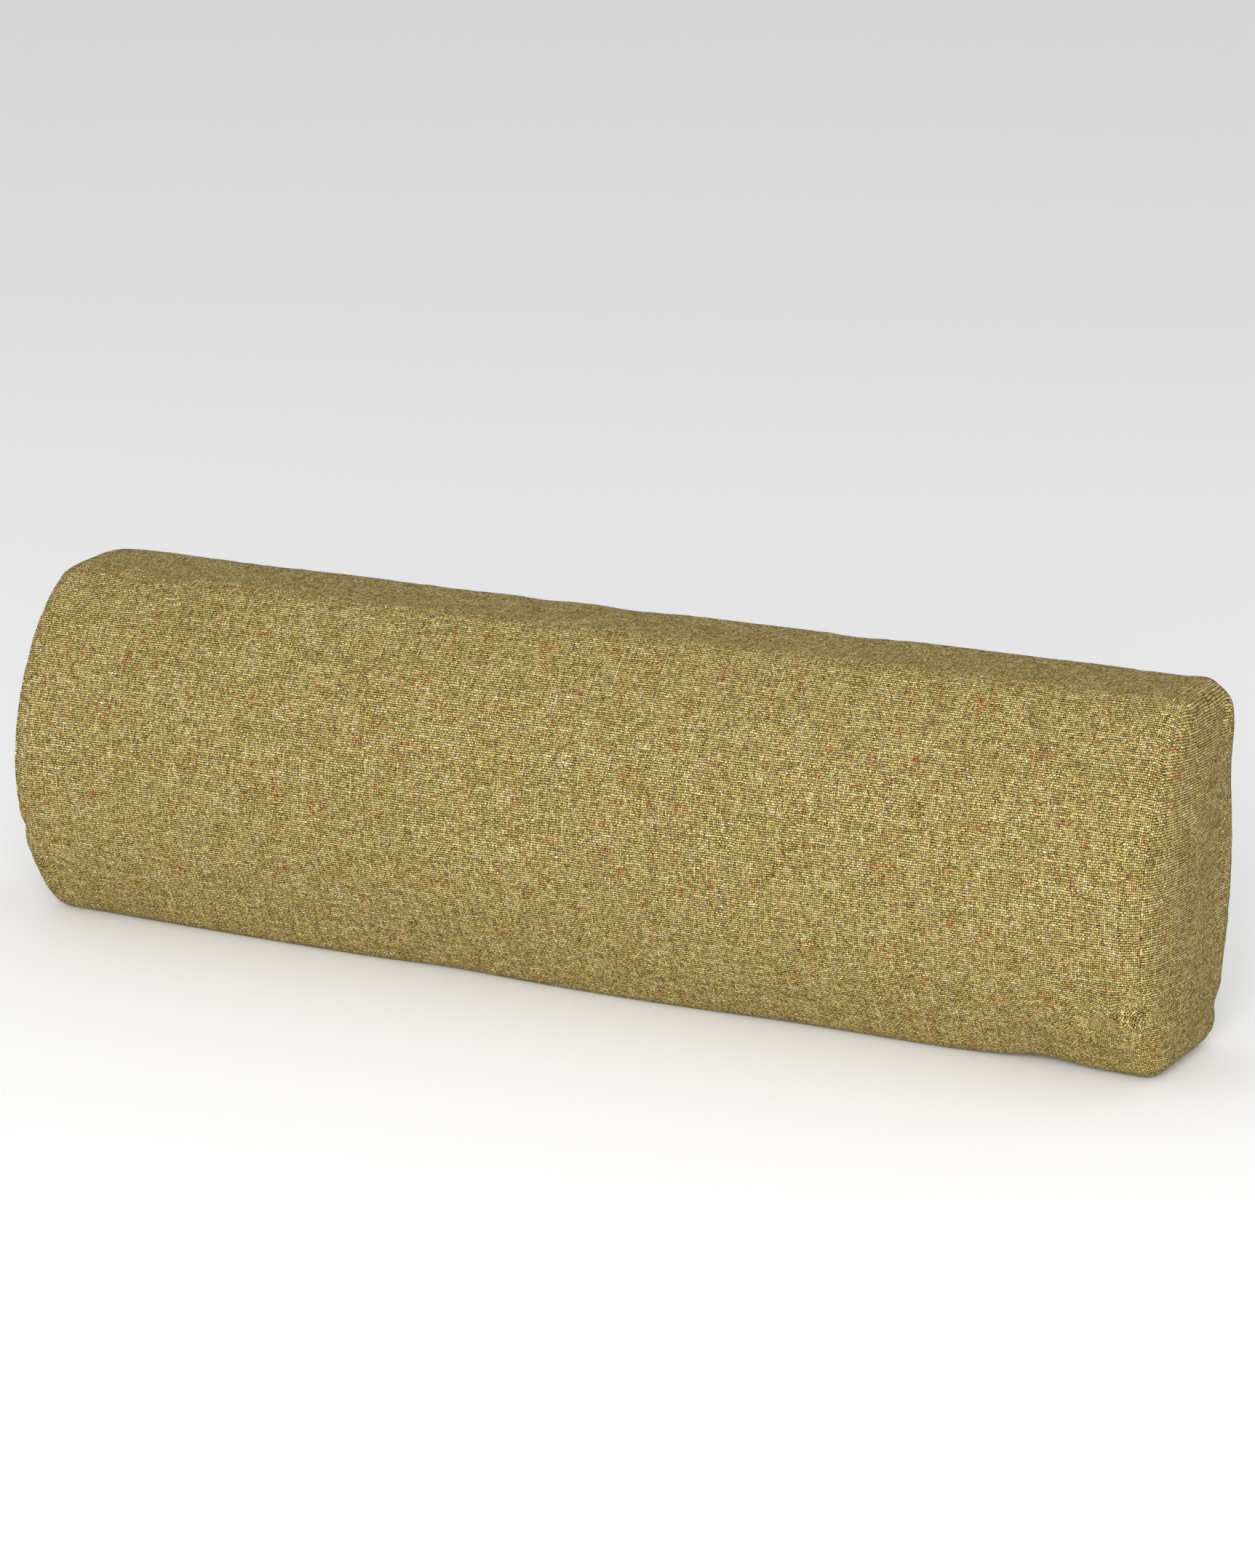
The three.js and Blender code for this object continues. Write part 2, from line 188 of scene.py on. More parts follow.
# %% [markdown]
# ## One surface for every layer
# Foam, wadding, inner case and cover are the same body at different depths. A layer is a depth
# below the outside; its ends are rounded off and then rise in a shallow dome. Points are found from
# two numbers: w, the distance along the bolster, and s, the distance round it. Past the ends w goes
# on over the rounding and in across the end, so the same rule also closes a layer at a pole.

# %% The surface of a layer
zip_z = (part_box("zip_tape_upper")[0].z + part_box("zip_tape_lower")[1].z) / 2
opening_half = -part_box("zip_bottom_stop")[0].x
# the strip that dips under the zip is a little wider and longer than the tapes
dip_half_width = 18.95 * mm
dip_half_length = 306.2 * mm
dip_slope = 10 * mm
# where the lines that cross an end meet, and how fast they go inwards as they near it
pole = np.array([back_y - 52 * mm, height / 2 + 2 * mm])
pole_share = 0.8
# the end seams lie where the surface leans this many degrees towards the end
seam_lean = 45.0


def smooth(start, stop, value):
    """Goes from 0 at start to 1 at stop, level at both: 3 t squared less 2 t cubed."""
    t = np.clip((value - start) / (stop - start), 0, 1)
    return t * t * (3 - 2 * t)


def dome(inset):
    """How far the end has still to rise: a parabola that runs out at the inset dome_inset."""
    return end_bulge * np.clip(1 - inset / dome_inset, 0, None) ** 2


def zip_window(points, normals):
    """1 on the strip of the back where the zip lies sunk, 0 elsewhere, with sloping sides."""
    across = np.abs(points[..., 2] - zip_z)
    along = np.abs(points[..., 0])
    wide = smooth(dip_half_width + dip_slope, dip_half_width, across)
    return wide * smooth(dip_half_length + dip_slope, dip_half_length, along) * (normals[..., 1] > 0.5)


class Layer:
    """A body at one depth below the outside. groove is how far its seams are pulled or pressed in,
    hidden is the share of the groove that is left out where the end seams cross the rounded front,
    and sunk is how far the body dips under the zip."""

    def __init__(self, depth, groove, sunk, hidden=0.0):
        self.depth = depth
        self.groove = groove
        self.sunk = sunk
        self.hidden = hidden
        self.round = max(end_round - depth, 2 * mm)
        self.straight = half_length - depth - float(dome(depth)) - self.round
        self.reach = self.straight + self.round * math.radians(seam_lean)
        self.rim = self.straight + self.round * math.pi / 2
        self.seam_inset = self.depth + self.round * (1 - math.cos(math.radians(seam_lean)))

    def wall(self, w, s):
        """Points and outward directions. Past the straight part the surface leans towards the end:
        it follows a quarter circle, and sinks into the section by one minus the cosine of the lean.
        Past the rim it crosses the end in a straight line from the rim to the pole."""
        w, s = np.broadcast_arrays(w, s)
        lean = np.clip((np.abs(w) - self.straight) / self.round, 0, math.pi / 2)
        inset = self.depth + self.round * (1 - np.cos(lean))
        y, z, ny, nz = around(s)
        y, z = y - inset * ny, z - inset * nz
        across = np.hypot(y - pole[0], z - pole[1])
        inwards = np.clip(np.abs(w) - self.rim, 0, 1)
        y, z = y + (pole[0] - y) * inwards, z + (pole[1] - z) * inwards
        inset = inset + pole_share * across * inwards
        past = half_length - self.depth - dome(inset) - self.round * (1 - np.sin(lean))
        x = np.where(lean > 0, np.sign(w) * past, w)
        points = np.stack([x, y, z], axis=-1)
        normals = np.stack([np.sign(w) * np.sin(lean), np.cos(lean) * ny, np.cos(lean) * nz], axis=-1)
        return points, normals


cover_thickness = 1.3 * mm
cover = Layer(0, 0.8 * mm, 5 * mm, hidden=1.0)
lining = Layer(2.4 * mm, 4.2 * mm, 8.05 * mm)
wadding_out = Layer(3.4 * mm, 5.6 * mm, 8.05 * mm)
wadding_in = Layer(13.4 * mm, 0, 0)
foam = Layer(13.8 * mm, 0, 0)
print(f"cover seams {cover.reach / mm:.0f} mm either side of the middle")

# %% [markdown]
# ## Softness
# Nothing stuffed is quite flat. Four things move the cloth in or out along the way it faces: slow
# waves from the padding, a groove and small gathers at each seam, a few dents and bumps where this
# bolster has been handled, and small folds where the ends take up the fullness of the lower front
# corners. All layers use the same rule, so they still meet at their seams and do not cut through
# each other.

# %% Waves and seams
rng = np.random.default_rng(11)
wave_lengths = np.array([0.30, 0.21, 0.15, 0.11, 0.08, 0.06])
wave_sizes = np.array([0.55, 0.45, 0.4, 0.28, 0.18, 0.12]) * mm
wave_ways = rng.normal(size=(6, 3)) * (1, 1.8, 1.8)
wave_ways /= np.linalg.norm(wave_ways, axis=1)[:, None]
wave_phases = rng.uniform(0, 2 * math.pi, 6)
gather_lengths = np.array([43, 27, 17, 11.5]) * mm
gather_phases = rng.uniform(0, 2 * math.pi, (3, 4))
gather_height, gather_reach = 0.22 * mm, 17 * mm
gather_swell = 130 * mm
puff_height, puff_reach = 0.5 * mm, 14 * mm
groove_reach = 1.6 * mm
print("the slow waves add up to at most", round(float(wave_sizes.sum() / mm), 1), "mm")


def waves(points):
    """A sum of plane waves, each with its own direction, length and height."""
    turns = points @ (wave_ways / wave_lengths[:, None]).T * 2 * math.pi + wave_phases
    return np.sin(turns) @ wave_sizes


def gathers(along, which):
    """Small folds across a seam: four waves added, times a slow one that comes and goes."""
    phases = gather_phases[which]
    turns = along[..., None] / gather_lengths * 2 * math.pi + phases
    coming = 0.6 + 0.4 * np.sin(along / gather_swell * 2 * math.pi + phases[0])
    return np.sin(turns).mean(axis=-1) * 2 * coming


def seam_relief(away, along, which, groove):
    """A groove that fades in a few millimetres, the puff beside it, and gathers that fade later."""
    away = np.maximum(away, 0)
    sunk = -groove * np.exp(-((away / (groove_reach + groove)) ** 1.3))
    puff = puff_height * away / puff_reach * np.exp(1 - away / puff_reach)
    return sunk + puff + gather_height * gathers(along, which) * np.exp(-away / gather_reach)


# %% Dents and bumps
# each one: where along w and round the section, how wide each way, and how deep
end_seam = cover.reach
lower_edge = (
    (272 * mm, corner_low - 6 * mm, 18 * mm, 28 * mm, 2.2 * mm),
    (225 * mm, corner_low, 36 * mm, 26 * mm, -0.8 * mm),
    (20 * mm, corner_low, 80 * mm, 26 * mm, -3.0 * mm),
    (-116 * mm, corner_low, 30 * mm, 26 * mm, -1.0 * mm),
    (-160 * mm, corner_low, 85 * mm, 26 * mm, -2.8 * mm),
)
upper_edge = (
    (-40 * mm, seam_top, 330 * mm, 30 * mm, -1.1 * mm),
    (136 * mm, seam_top + 4 * mm, 14 * mm, 14 * mm, 0.9 * mm),
    (60 * mm, seam_top + 6 * mm, 45 * mm, 20 * mm, 0.8 * mm),
    (5 * mm, seam_top + 4 * mm, 16 * mm, 16 * mm, 1.0 * mm),
    (-51 * mm, seam_top + 4 * mm, 12 * mm, 14 * mm, 0.8 * mm),
)
upper_front = (
    (300 * mm, corner_top + 30 * mm, 40 * mm, 34 * mm, 0.9 * mm),
    (-270 * mm, corner_top + 60 * mm, 46 * mm, 40 * mm, 0.9 * mm),
    (-300 * mm, corner_top + 4 * mm, 60 * mm, 15 * mm, 1.2 * mm),
)
right_end = (
    (end_seam + 4 * mm, seam_top - 16 * mm, 8 * mm, 20 * mm, -2.6 * mm),
    (end_seam - 16 * mm, seam_top + 3 * mm, 34 * mm, 14 * mm, 1.1 * mm),
    (end_seam, seam_low, 16 * mm, 13 * mm, 1.4 * mm),
    (end_seam, girth - height / 2 + 24 * mm, 20 * mm, 7 * mm, 2.2 * mm),
    (end_seam + 3 * mm, girth - 4 * mm, 15 * mm, 84 * mm, -6.6 * mm),
)
left_end = (
    (-end_seam, nearest_s(-back_y, height / 2 + 10 * mm), 14 * mm, 60 * mm, -2.0 * mm),
    (-end_seam, seam_top, 18 * mm, 12 * mm, 1.6 * mm),
    (-end_seam, seam_low, 16 * mm, 13 * mm, 2.0 * mm),
    (-end_seam - 3 * mm, girth - 6 * mm, 15 * mm, 66 * mm, -2.5 * mm),
    (-end_seam, nearest_s(crown_y - crown_radius, 52 * mm), 9 * mm, 5 * mm, 1.5 * mm),
)
dents = lower_edge + upper_edge + upper_front + right_end + left_end
print(len(dents), "dents and bumps")


def dented(w, s):
    """Each dent is a smooth bell, taken off; a dent whose depth is less than nothing is a bump."""
    total = np.zeros(np.broadcast(w, s).shape)
    for at_w, at_s, wide, round_wide, deep in dents:
        round_by = (s - at_s + girth / 2) % girth - girth / 2
        total -= deep * np.exp(-(((w - at_w) / wide) ** 2) - (round_by / round_wide) ** 2)
    return total


# %% Corner folds
# each swirl: where along w and round the section, the size of the patch, and the height of a fold
swirl_s = nearest_s(crown_y - crown_radius * 0.93, 40 * mm)
swirls = (
    (end_seam - 7 * mm, swirl_s, 10 * mm, 1.25 * mm),
    (-end_seam + 9 * mm, swirl_s + 8 * mm, 7 * mm, 0.9 * mm),
)
fold_length = 4.4 * mm
rings_below = 15 * mm
swirl_turn = 1.3


def swirled(w, s):
    """Small folds in the lower front corners: rings round a point below, seen in one patch only."""
    total = np.zeros(np.broadcast(w, s).shape)
    for at_w, at_s, wide, high in swirls:
        across, down = w - at_w, s - at_s
        ring = np.hypot(across, down - rings_below)
        patch = np.exp(-((across / wide) ** 2) - (down / (wide * 0.8)) ** 2)
        total += high * np.sin(ring / fold_length * 2 * math.pi) * patch
    return total


def twisted(w, s):
    """Where the cloth that lies at w and s was when it was flat: inside each swirl it has been
    turned about the middle of the patch, by an angle that fades outwards."""
    for at_w, at_s, wide, _ in swirls:
        across, down = w - at_w, s - at_s
        turn = swirl_turn * np.exp(-(across**2 + down**2) / (wide * 1.1) ** 2)
        w = at_w + across * np.cos(turn) - down * np.sin(turn)
        s = at_s + across * np.sin(turn) + down * np.cos(turn)
    return w, s


# %% All the softness together
def softened(layer, points, normals, w, s, away_end, away_back):
    """Moves points along the way they face. The strip at the zip stays even, and sinks; whatever
    would reach below the surface that the bolster stands on is pressed flat."""
    s = np.mod(s, girth)
    x = points[..., 0]
    front = smooth(seam_top + 7 * mm, seam_top + 18 * mm, s)
    front = front * smooth(seam_low - 7 * mm, seam_low - 30 * mm, s)
    end_groove = layer.groove * (1 - layer.hidden * front)
    ends = [seam_relief(away_end, s, which, end_groove) for which in (0, 1)]
    relief = waves(points) + dented(w, s) + swirled(w, s) + np.where(w > 0, *ends)
    relief = relief + seam_relief(away_back, x, 2, layer.groove)
    window = zip_window(points, normals)
    relief = relief * (1 - window) - layer.sunk * window
    points = points + normals * relief[..., None]
    points[..., 2] = np.maximum(points[..., 2], layer.depth)
    return points


# %% [markdown]
# ## From a grid of points to a mesh
# Every panel is a rectangular grid of points. The cloth has a thickness, so the grid is laid twice,
# outside and inside, and the free edges are joined by a rim. That makes each panel a closed solid,
# as the real piece of cloth is. The distance along and across the cloth goes into a UV map, in
# metres, so that the weave is the same size everywhere and runs with the cloth.


# %% Grids and spacings
focus_width = 10 * mm


def graded(start, stop, coarse, fine, reach, focus=None):
    """Places from start to stop: fine apart at both ends, and within focus_width of the focus if
    there is one, growing to coarse over the given reach."""
    probe = np.linspace(start, stop, 6001)
    edge = np.minimum(probe - start, stop - probe)
    if focus is not None:
        edge = np.minimum(edge, np.maximum(np.abs(probe - focus) - focus_width, 0))
    step = coarse - (coarse - fine) * np.exp(-edge / reach)
    count = np.concatenate([[0], np.cumsum(np.diff(probe) / step[1:])])
    return np.interp(np.linspace(0, count[-1], round(count[-1]) + 1), count, probe)


def unit(vectors):
    """Each vector divided by its own length."""
    return vectors / np.maximum(np.linalg.norm(vectors, axis=-1, keepdims=True), 1e-12)


def facing(grid):
    """The direction each point of a grid faces: the cross product of its two edge directions."""
    return unit(np.cross(np.gradient(grid, axis=0), np.gradient(grid, axis=1)))


def quads(rows, columns, wrap=False):
    """The four corner numbers of every cell of a grid; wrap joins the last column to the first."""
    index = np.arange(rows * columns).reshape(rows, columns)
    if wrap:
        index = np.concatenate([index, index[:, :1]], axis=1)
    cells = np.stack([index[:-1, :-1], index[1:, :-1], index[1:, 1:], index[:-1, 1:]], axis=-1)
    return cells.reshape(-1, 4)


def rim_edges(faces):
    """The edges that only one face uses, each in the direction that its face runs."""
    edges = np.stack([faces, np.roll(faces, -1, axis=1)], axis=-1).reshape(-1, 2)
    _, first, uses = np.unique(np.sort(edges, axis=1), axis=0, return_index=True, return_counts=True)
    return edges[first[uses == 1]]


# %% Meshes
def merge_poles(mesh):
    """Joins points that lie on each other, so that every pole is closed."""
    work = bmesh.new()
    work.from_mesh(mesh)
    bmesh.ops.remove_doubles(work, verts=work.verts, dist=0.5e-6)
    work.to_mesh(mesh)
    work.free()


def mesh_piece(name, points, faces, cloth=None, poles=False):
    """A new object with these points and faces; cloth holds each point's place on the flat cloth."""
    used, faces = np.unique(faces, return_inverse=True)
    faces = faces.reshape(-1, 4)
    points = np.asarray(points, dtype=float).reshape(-1, 3)[used]
    mesh = bpy.data.meshes.new(name)
    mesh.vertices.add(len(points))
    mesh.vertices.foreach_set("co", points.ravel())
    mesh.loops.add(faces.size)
    mesh.loops.foreach_set("vertex_index", faces.ravel())
    mesh.polygons.add(len(faces))
    mesh.polygons.foreach_set("loop_start", np.arange(0, faces.size, 4))
    mesh.polygons.foreach_set("use_smooth", np.ones(len(faces), dtype=bool))
    if cloth is not None:
        layer = mesh.uv_layers.new(name="cloth")
        layer.data.foreach_set("uv", np.asarray(cloth).reshape(-1, 2)[used][faces].ravel())
    mesh.update(calc_edges=True)
    if poles:
        merge_poles(mesh)
    piece = bpy.data.objects.new(name, mesh)
    bpy.context.collection.objects.link(piece)
    return piece


def sandwich(name, outer, inner, faces, cloth, poles=False):
    """Outer faces, the same faces turned round on the inner points, and a rim that joins the two.
    The faces are turned over first if they look from the outer points towards the inner ones."""
    outer, inner = outer.reshape(-1, 3), inner.reshape(-1, 3)
    a, b, c, d = outer[faces].transpose(1, 0, 2)
    if (np.cross(c - a, d - b) * (outer - inner)[faces[:, 0]]).sum() < 0:
        faces = faces[:, ::-1]
    rim = rim_edges(faces)
    count = len(outer)
    sides = np.stack([rim[:, 1], rim[:, 0], rim[:, 0] + count, rim[:, 1] + count], axis=1)
    every = np.concatenate([faces, faces[:, ::-1] + count, sides])
    cloth = cloth.reshape(-1, 2)
    both = np.concatenate([outer, inner])
    return mesh_piece(name, both, every, np.concatenate([cloth, cloth]), poles)


def cloth_panel(name, grid, cloth, thickness, outward, keep=None):
    """A panel of even thickness from its outer grid; outward settles which side is outside."""
    way = facing(grid)
    if (way * outward).sum() < 0:
        way = -way
    faces = quads(*grid.shape[:2])
    if keep is not None:
        faces = faces[keep.reshape(-1)[faces].all(axis=1)]
    return sandwich(name, grid, grid - thickness * way, faces, cloth)


def closed_piece(name, shape, offsets=((0, 0, 0),)):
    """Rings of points, closed round and drawn to a pole at both ends, repeated at each offset.
    The sum of each face's volume towards the origin tells whether the shape is inside out."""
    shape = np.concatenate([[np.tile(shape[0].mean(axis=0), (shape.shape[1], 1))], shape])
    shape = np.concatenate([shape, [np.tile(shape[-1].mean(axis=0), (shape.shape[1], 1))]])
    faces = quads(*shape.shape[:2], wrap=True)
    points = shape.reshape(-1, 3)
    a, b, c, d = (points - points.mean(axis=0))[faces].transpose(1, 0, 2)
    if (np.cross(c - a, d - b) * a).sum() < 0:
        faces = faces[:, ::-1]
    offsets = np.asarray(offsets, dtype=float)
    points = (points[None] + offsets[:, None]).reshape(-1, 3)
    faces = (faces[None] + len(shape.reshape(-1, 3)) * np.arange(len(offsets))[:, None, None]).reshape(-1, 4)
    return mesh_piece(name, points, faces, poles=True)


print("a grid of 3 by 4 points has", len(quads(3, 4)), "cells")

# %% [markdown]
# ## Finishes as arithmetic
# A finish is a material whose nodes work out colour and height from a place on the cloth. The sums
# are easier to read as Python than as wires, so one small class wraps a node's output and turns
# `a + b` into a Math node. Colours go through Mix, since a Math node would make them grey.


# %% Wires and recipes
class Wire:
    """One output of a material's nodes, with Python's arithmetic."""

    def __init__(self, recipe, socket):
        self.recipe = recipe
        self.socket = socket

    def math(self, operation, *others):
        """A Math node that is fed this number and the others."""
        return self.recipe.node("ShaderNodeMath", {"operation": operation}, [self, *others])

    def __add__(self, other):
        return self.math("ADD", other)

    def __mul__(self, other):
        return self.math("MULTIPLY", other)

    def __sub__(self, other):
        return self.math("SUBTRACT", other)

    def __truediv__(self, other):
        return self.math("DIVIDE", other)

    __radd__ = __add__
    __rmul__ = __mul__

    def ramped(self, *stops):
        """The colour of this number on a ramp of (place, colour) stops."""
        return self.recipe.node("ShaderNodeValToRGB", {"stops": stops}, [self])

    def step(self, low, high):
        """Goes smoothly from 0 to 1 as this number goes from low to high."""
        settings = {"interpolation_type": "SMOOTHSTEP"}
        return self.recipe.node("ShaderNodeMapRange", settings, [self, low, high, 0, 1])


def linear(code):
    """A web colour code as the linear red, green and blue that the renderer works in."""
    parts = np.array([int(code[i:i + 2], 16) for i in (0, 2, 4)]) / 255
    return tuple(float(v) for v in np.where(parts < 0.04045, parts / 12.92, ((parts + 0.055) / 1.055) ** 2.4))


class Recipe:
    """A material in the making, with one Principled shader."""

    def __init__(self, name, **constants):
        self.material = bpy.data.materials.new(name)
        self.material.use_nodes = True
        self.tree = self.material.node_tree
        self.shader = self.tree.nodes["Principled BSDF"]
        for socket, value in constants.items():
            self.feed(self.shader.inputs[socket.replace("_", " ").title().replace("Ior", "IOR")], value)

    def feed(self, socket, value):
        """Links a wire to a socket, or sets the socket to a number or a colour."""
        if isinstance(value, Wire):
            self.tree.links.new(value.socket, socket)
        elif socket.type == "RGBA":
            socket.default_value = (*value[:3], 1)
        else:
            socket.default_value = value

    def node(self, kind, settings=None, inputs=(), outlet=0):
        """Any node: its type, its settings, what its sockets are given, and the output wanted."""
        node = self.tree.nodes.new(kind)
        for key, value in (settings or {}).items():
            if key == "stops":
                self.set_stops(node.color_ramp, value)
            else:
                setattr(node, key, value)
        pairs = inputs.items() if isinstance(inputs, dict) else enumerate(inputs)
        for key, value in pairs:
            self.feed(node.inputs[key], value)
        return Wire(self, node.outputs[outlet])

    def set_stops(self, ramp, stops):
        """Gives a colour ramp these stops; it starts with two of its own."""
        while len(ramp.elements) < len(stops):
            ramp.elements.new(0.5)
        for element, (place, colour) in zip(ramp.elements, stops):
            element.position = place
            element.color = (*colour, 1)

    def places(self, output):
        """The three parts of a Texture Coordinate output: Object, or UV for the flat cloth."""
        source = self.node("ShaderNodeTexCoord", outlet=output)
        return [self.node("ShaderNodeSeparateXYZ", inputs=[source], outlet=i) for i in range(3)]

    def vector(self, x, y, z=0.0):
        """One place from three numbers."""
        return self.node("ShaderNodeCombineXYZ", inputs=[x, y, z])

    def noise(self, place, scale, detail=2.0, roughness=0.5, distortion=0.0):
        """Soft random values between 0 and 1; one over the scale is the size of its blots."""
        values = {"Vector": place, "Scale": scale, "Detail": detail, "Roughness": roughness,
                  "Distortion": distortion}
        return self.node("ShaderNodeTexNoise", {"noise_dimensions": "3D"}, values)

    def chance(self, place):
        """One even random value for each whole-number place."""
        return self.node("ShaderNodeTexWhiteNoise", {"noise_dimensions": "3D"}, {"Vector": place})

    def mix(self, factor, first, second, blend="MIX"):
        """A colour between two colours."""
        settings = {"data_type": "RGBA", "blend_type": blend}
        return self.node("ShaderNodeMix", settings, {0: factor, 6: first, 7: second}, outlet=2)

    def finish(self, colour, relief, distance, roughness=None):
        """Feeds the shader: a colour, a relief whose 1 stands distance high, and a roughness."""
        self.feed(self.shader.inputs["Base Color"], colour)
        bump = self.node("ShaderNodeBump", inputs={"Height": relief, "Distance": distance, "Strength": 1.0})
        self.feed(self.shader.inputs["Normal"], bump)
        if roughness is not None:
            self.feed(self.shader.inputs["Roughness"], roughness)
        print("finish", self.material.name, "has", len(self.tree.nodes), "nodes")
        return self.material


# %% [markdown]
# ### Tweed
# The cover is a plain weave of thick, uneven yarns. The weft runs along the bolster, straw yellow
# to olive; the warp runs round it, thinner, in greyed pink and cream. In a plain weave the yarns
# take turns on top, as the squares of a chessboard do, and the product of two sines has just that
# sign. Adding it to one yarn's round height and taking it from the other's gives both the relief
# and which yarn is seen. Every yarn has its own shade, which drifts along it.

# %% The tweed finish
warp_pitch = 1.0 * mm
weft_pitch = 1.3 * mm
yarn_wander = 2.8 * mm


def make_tweed(name="olive_tweed"):
    """A plain weave: each yarn's height is the size of a sine across it, plus or less the product
    of both sines, and the higher of the two yarns is the one that is seen. Where both yarns are
    low, between them and on their flanks, the colour is painted shade, near black."""
    cloth = Recipe(name, roughness=0.95, specular_ior_level=0.08)
    u, v, _ = cloth.places("UV")
    place = cloth.vector(u, v)
    drift = cloth.noise(place, 90, 4, 0.85) - 0.5
    sway = cloth.noise(cloth.vector(v, u, 3.0), 90, 4, 0.85) - 0.5
    across = (u + drift * yarn_wander) / warp_pitch
    along = (v + sway * yarn_wander) / weft_pitch
    warp_wave = (across * math.pi).math("SINE")
    weft_wave = (along * math.pi).math("SINE")
    turns = warp_wave * weft_wave * 0.55
    warp_number = across.math("FLOOR")
    weft_number = along.math("FLOOR")

    fuzz = cloth.noise(place, 2600, 2, 0.7)
    weft_shade = cloth.noise(cloth.vector(across * 0.07, weft_number * 7.3), 1, 3, 0.8)
    warp_shade = cloth.noise(cloth.vector(warp_number * 7.3, along * 0.05, 5.0), 1, 3, 0.8)
    slub = cloth.noise(cloth.vector(warp_number * 3.7, along * 0.05, 21.0), 1, 1, 0.5).step(0.6, 0.72)
    weft_size = 0.8 + weft_shade * 0.4
    warp_size = 0.68 + warp_shade * 0.36 + slub * 0.3
    weft_height = weft_wave.math("ABSOLUTE") * weft_size + turns
    warp_height = warp_wave.math("ABSOLUTE") * warp_size - turns
    top = weft_height.math("MAXIMUM", warp_height)
    weft_seen = (weft_height - warp_height).step(-0.12, 0.12)

    weft_colour = weft_shade.ramped(
        (0.3, linear("a9963c")), (0.44, linear("c8b24c")), (0.56, linear("e0cd70")), (0.72, linear("f8efc2")),
    )
    warp_colour = warp_shade.ramped(
        (0.3, linear("8b7452")), (0.45, linear("af9873")), (0.58, linear("c9b593")), (0.74, linear("f2e8d2")),
    )
    luck = cloth.chance(cloth.vector(warp_number, weft_number))
    cluster = cloth.noise(place, 75, 2) - 0.5
    fleck = cloth.noise(cloth.vector(across * 0.34, weft_number * 5.1, 9.0), 1, 1, 0.5) + cluster * 0.6
    nep = cloth.noise(cloth.vector(warp_number * 5.1, along * 0.5, 13.0), 1, 1, 0.5)
    weft_colour = cloth.mix(fleck.step(0.665, 0.7) * 0.85, weft_colour, linear("cf4f1c"))
    warp_colour = cloth.mix(nep.step(0.68, 0.695), warp_colour, linear("b9788a"))
    warp_colour = cloth.mix(nep.step(0.33, 0.315), warp_colour, linear("5a7f80"))
    yarn = cloth.mix(weft_seen, warp_colour, weft_colour)
    uneven = ((fuzz - 0.5) * 1.4 + luck * 0.35 + 0.53).ramped((0.0, (0.0,) * 3), (1.0, (1.0,) * 3))
    shade = cloth.mix(1.0, yarn, uneven, "MULTIPLY")
    patch = cloth.noise(place, 22, 3, 0.6)
    shade = cloth.mix(patch.step(0.35, 0.75) * 0.12, shade, linear("a8914a"))
    # painted shade: where both yarns are low, in the gaps between them and on their flanks, the colour goes
    # to near black
    depth = (top + luck * 0.3).step(0.65, 1.22)
    colour = cloth.mix(depth, linear("241a00"), shade)
    return cloth.finish(colour, top + fuzz * 0.35, 0.34 * mm)


tweed = make_tweed()

# %% [markdown]
# ### The hidden finishes
# The inner case is a bonded cloth of fine white fibres, the wadding is loose fibre, and the foam is
# full of small open cells. None of them is seen while the cover is on, but each is a piece of its
# own, so each has the grain that it would show on a workbench.


# %% Inner case, wadding and foam
def make_fibre(name, pale, dark, scale, distance, stretch):
    """Fibres: noise stretched along one direction and crossed by the same noise turned round."""
    cloth = Recipe(name, roughness=0.95, sheen_weight=0.2)
    x, y, z = cloth.places("Object")
    one = cloth.noise(cloth.vector(x * stretch, y, z), scale, 3, 0.6, 1.2)
    two = cloth.noise(cloth.vector(x, y, z * stretch), scale, 3, 0.6, 1.2)
    strands = one.math("MAXIMUM", two)
    colour = strands.ramped((0.4, linear(dark)), (0.65, linear(pale)))
    return cloth.finish(colour, strands, distance)


def make_foam(name="cut_foam"):
    """Cells: the distance to the nearest of scattered points, dark in the middle of each cell: painted shade
    in the open pores.
    """
    block = Recipe(name, roughness=0.97)
    x, y, z = block.places("Object")
    place = block.vector(x, y, z)
    cells = block.node("ShaderNodeTexVoronoi", {"feature": "F1"}, {"Vector": place, "Scale": 900.0})
    tone = block.noise(place, 12, 3)
    # painted shade: each pore is darker towards its middle
    colour = cells.ramped((0.15, linear("a7955a")), (0.6, linear("e9dfb6")))
    colour = block.mix(tone.step(0.4, 0.7) * 0.35, colour, linear("dfcf95"))
    return block.finish(colour, cells, 0.4 * mm)


lining_cloth = make_fibre("bonded_case_cloth", "f2f0ea", "cfccc2", 900, 0.12 * mm, 0.2)
wadding_fibre = make_fibre("loose_fibre", "fbfaf6", "d8d6cf", 420, 0.6 * mm, 0.3)
cut_foam = make_foam()

# %% [markdown]
# ### Zip, thread and label
# The tape is a fine woven ribbon with a slanted rib, and nylon, thread and satin differ mostly in
# their shine. The slider is plated metal: bright, with a faint cloudiness and small scratches that
# change its roughness more than its colour.


# %% Zip, thread and label finishes
def make_ribbed(name, pale, dark, pitch, slant, distance, roughness):
    """A ribbed cloth: a sine across the ribs, which slant by the given share of the way along. The colour
    follows the rib height, so the grooves carry painted shade.
    """
    cloth = Recipe(name, roughness=roughness)
    u, v, _ = cloth.places("UV")
    rib = ((u + v * slant) * (2 * math.pi / pitch)).math("SINE") * 0.5 + 0.5
    pick = ((v - u * slant) * (2 * math.pi / (pitch * 0.7))).math("SINE") * 0.5 + 0.5
    tone = cloth.noise(cloth.vector(u, v), 260, 2)
    height = rib * 0.7 + pick * 0.3
    # painted shade: the colour follows the rib height, so the grooves between the ribs are darker
    colour = (height * 0.7 + tone * 0.3).ramped((0.2, linear(dark)), (0.8, linear(pale)))
    return cloth.finish(colour, height, distance)


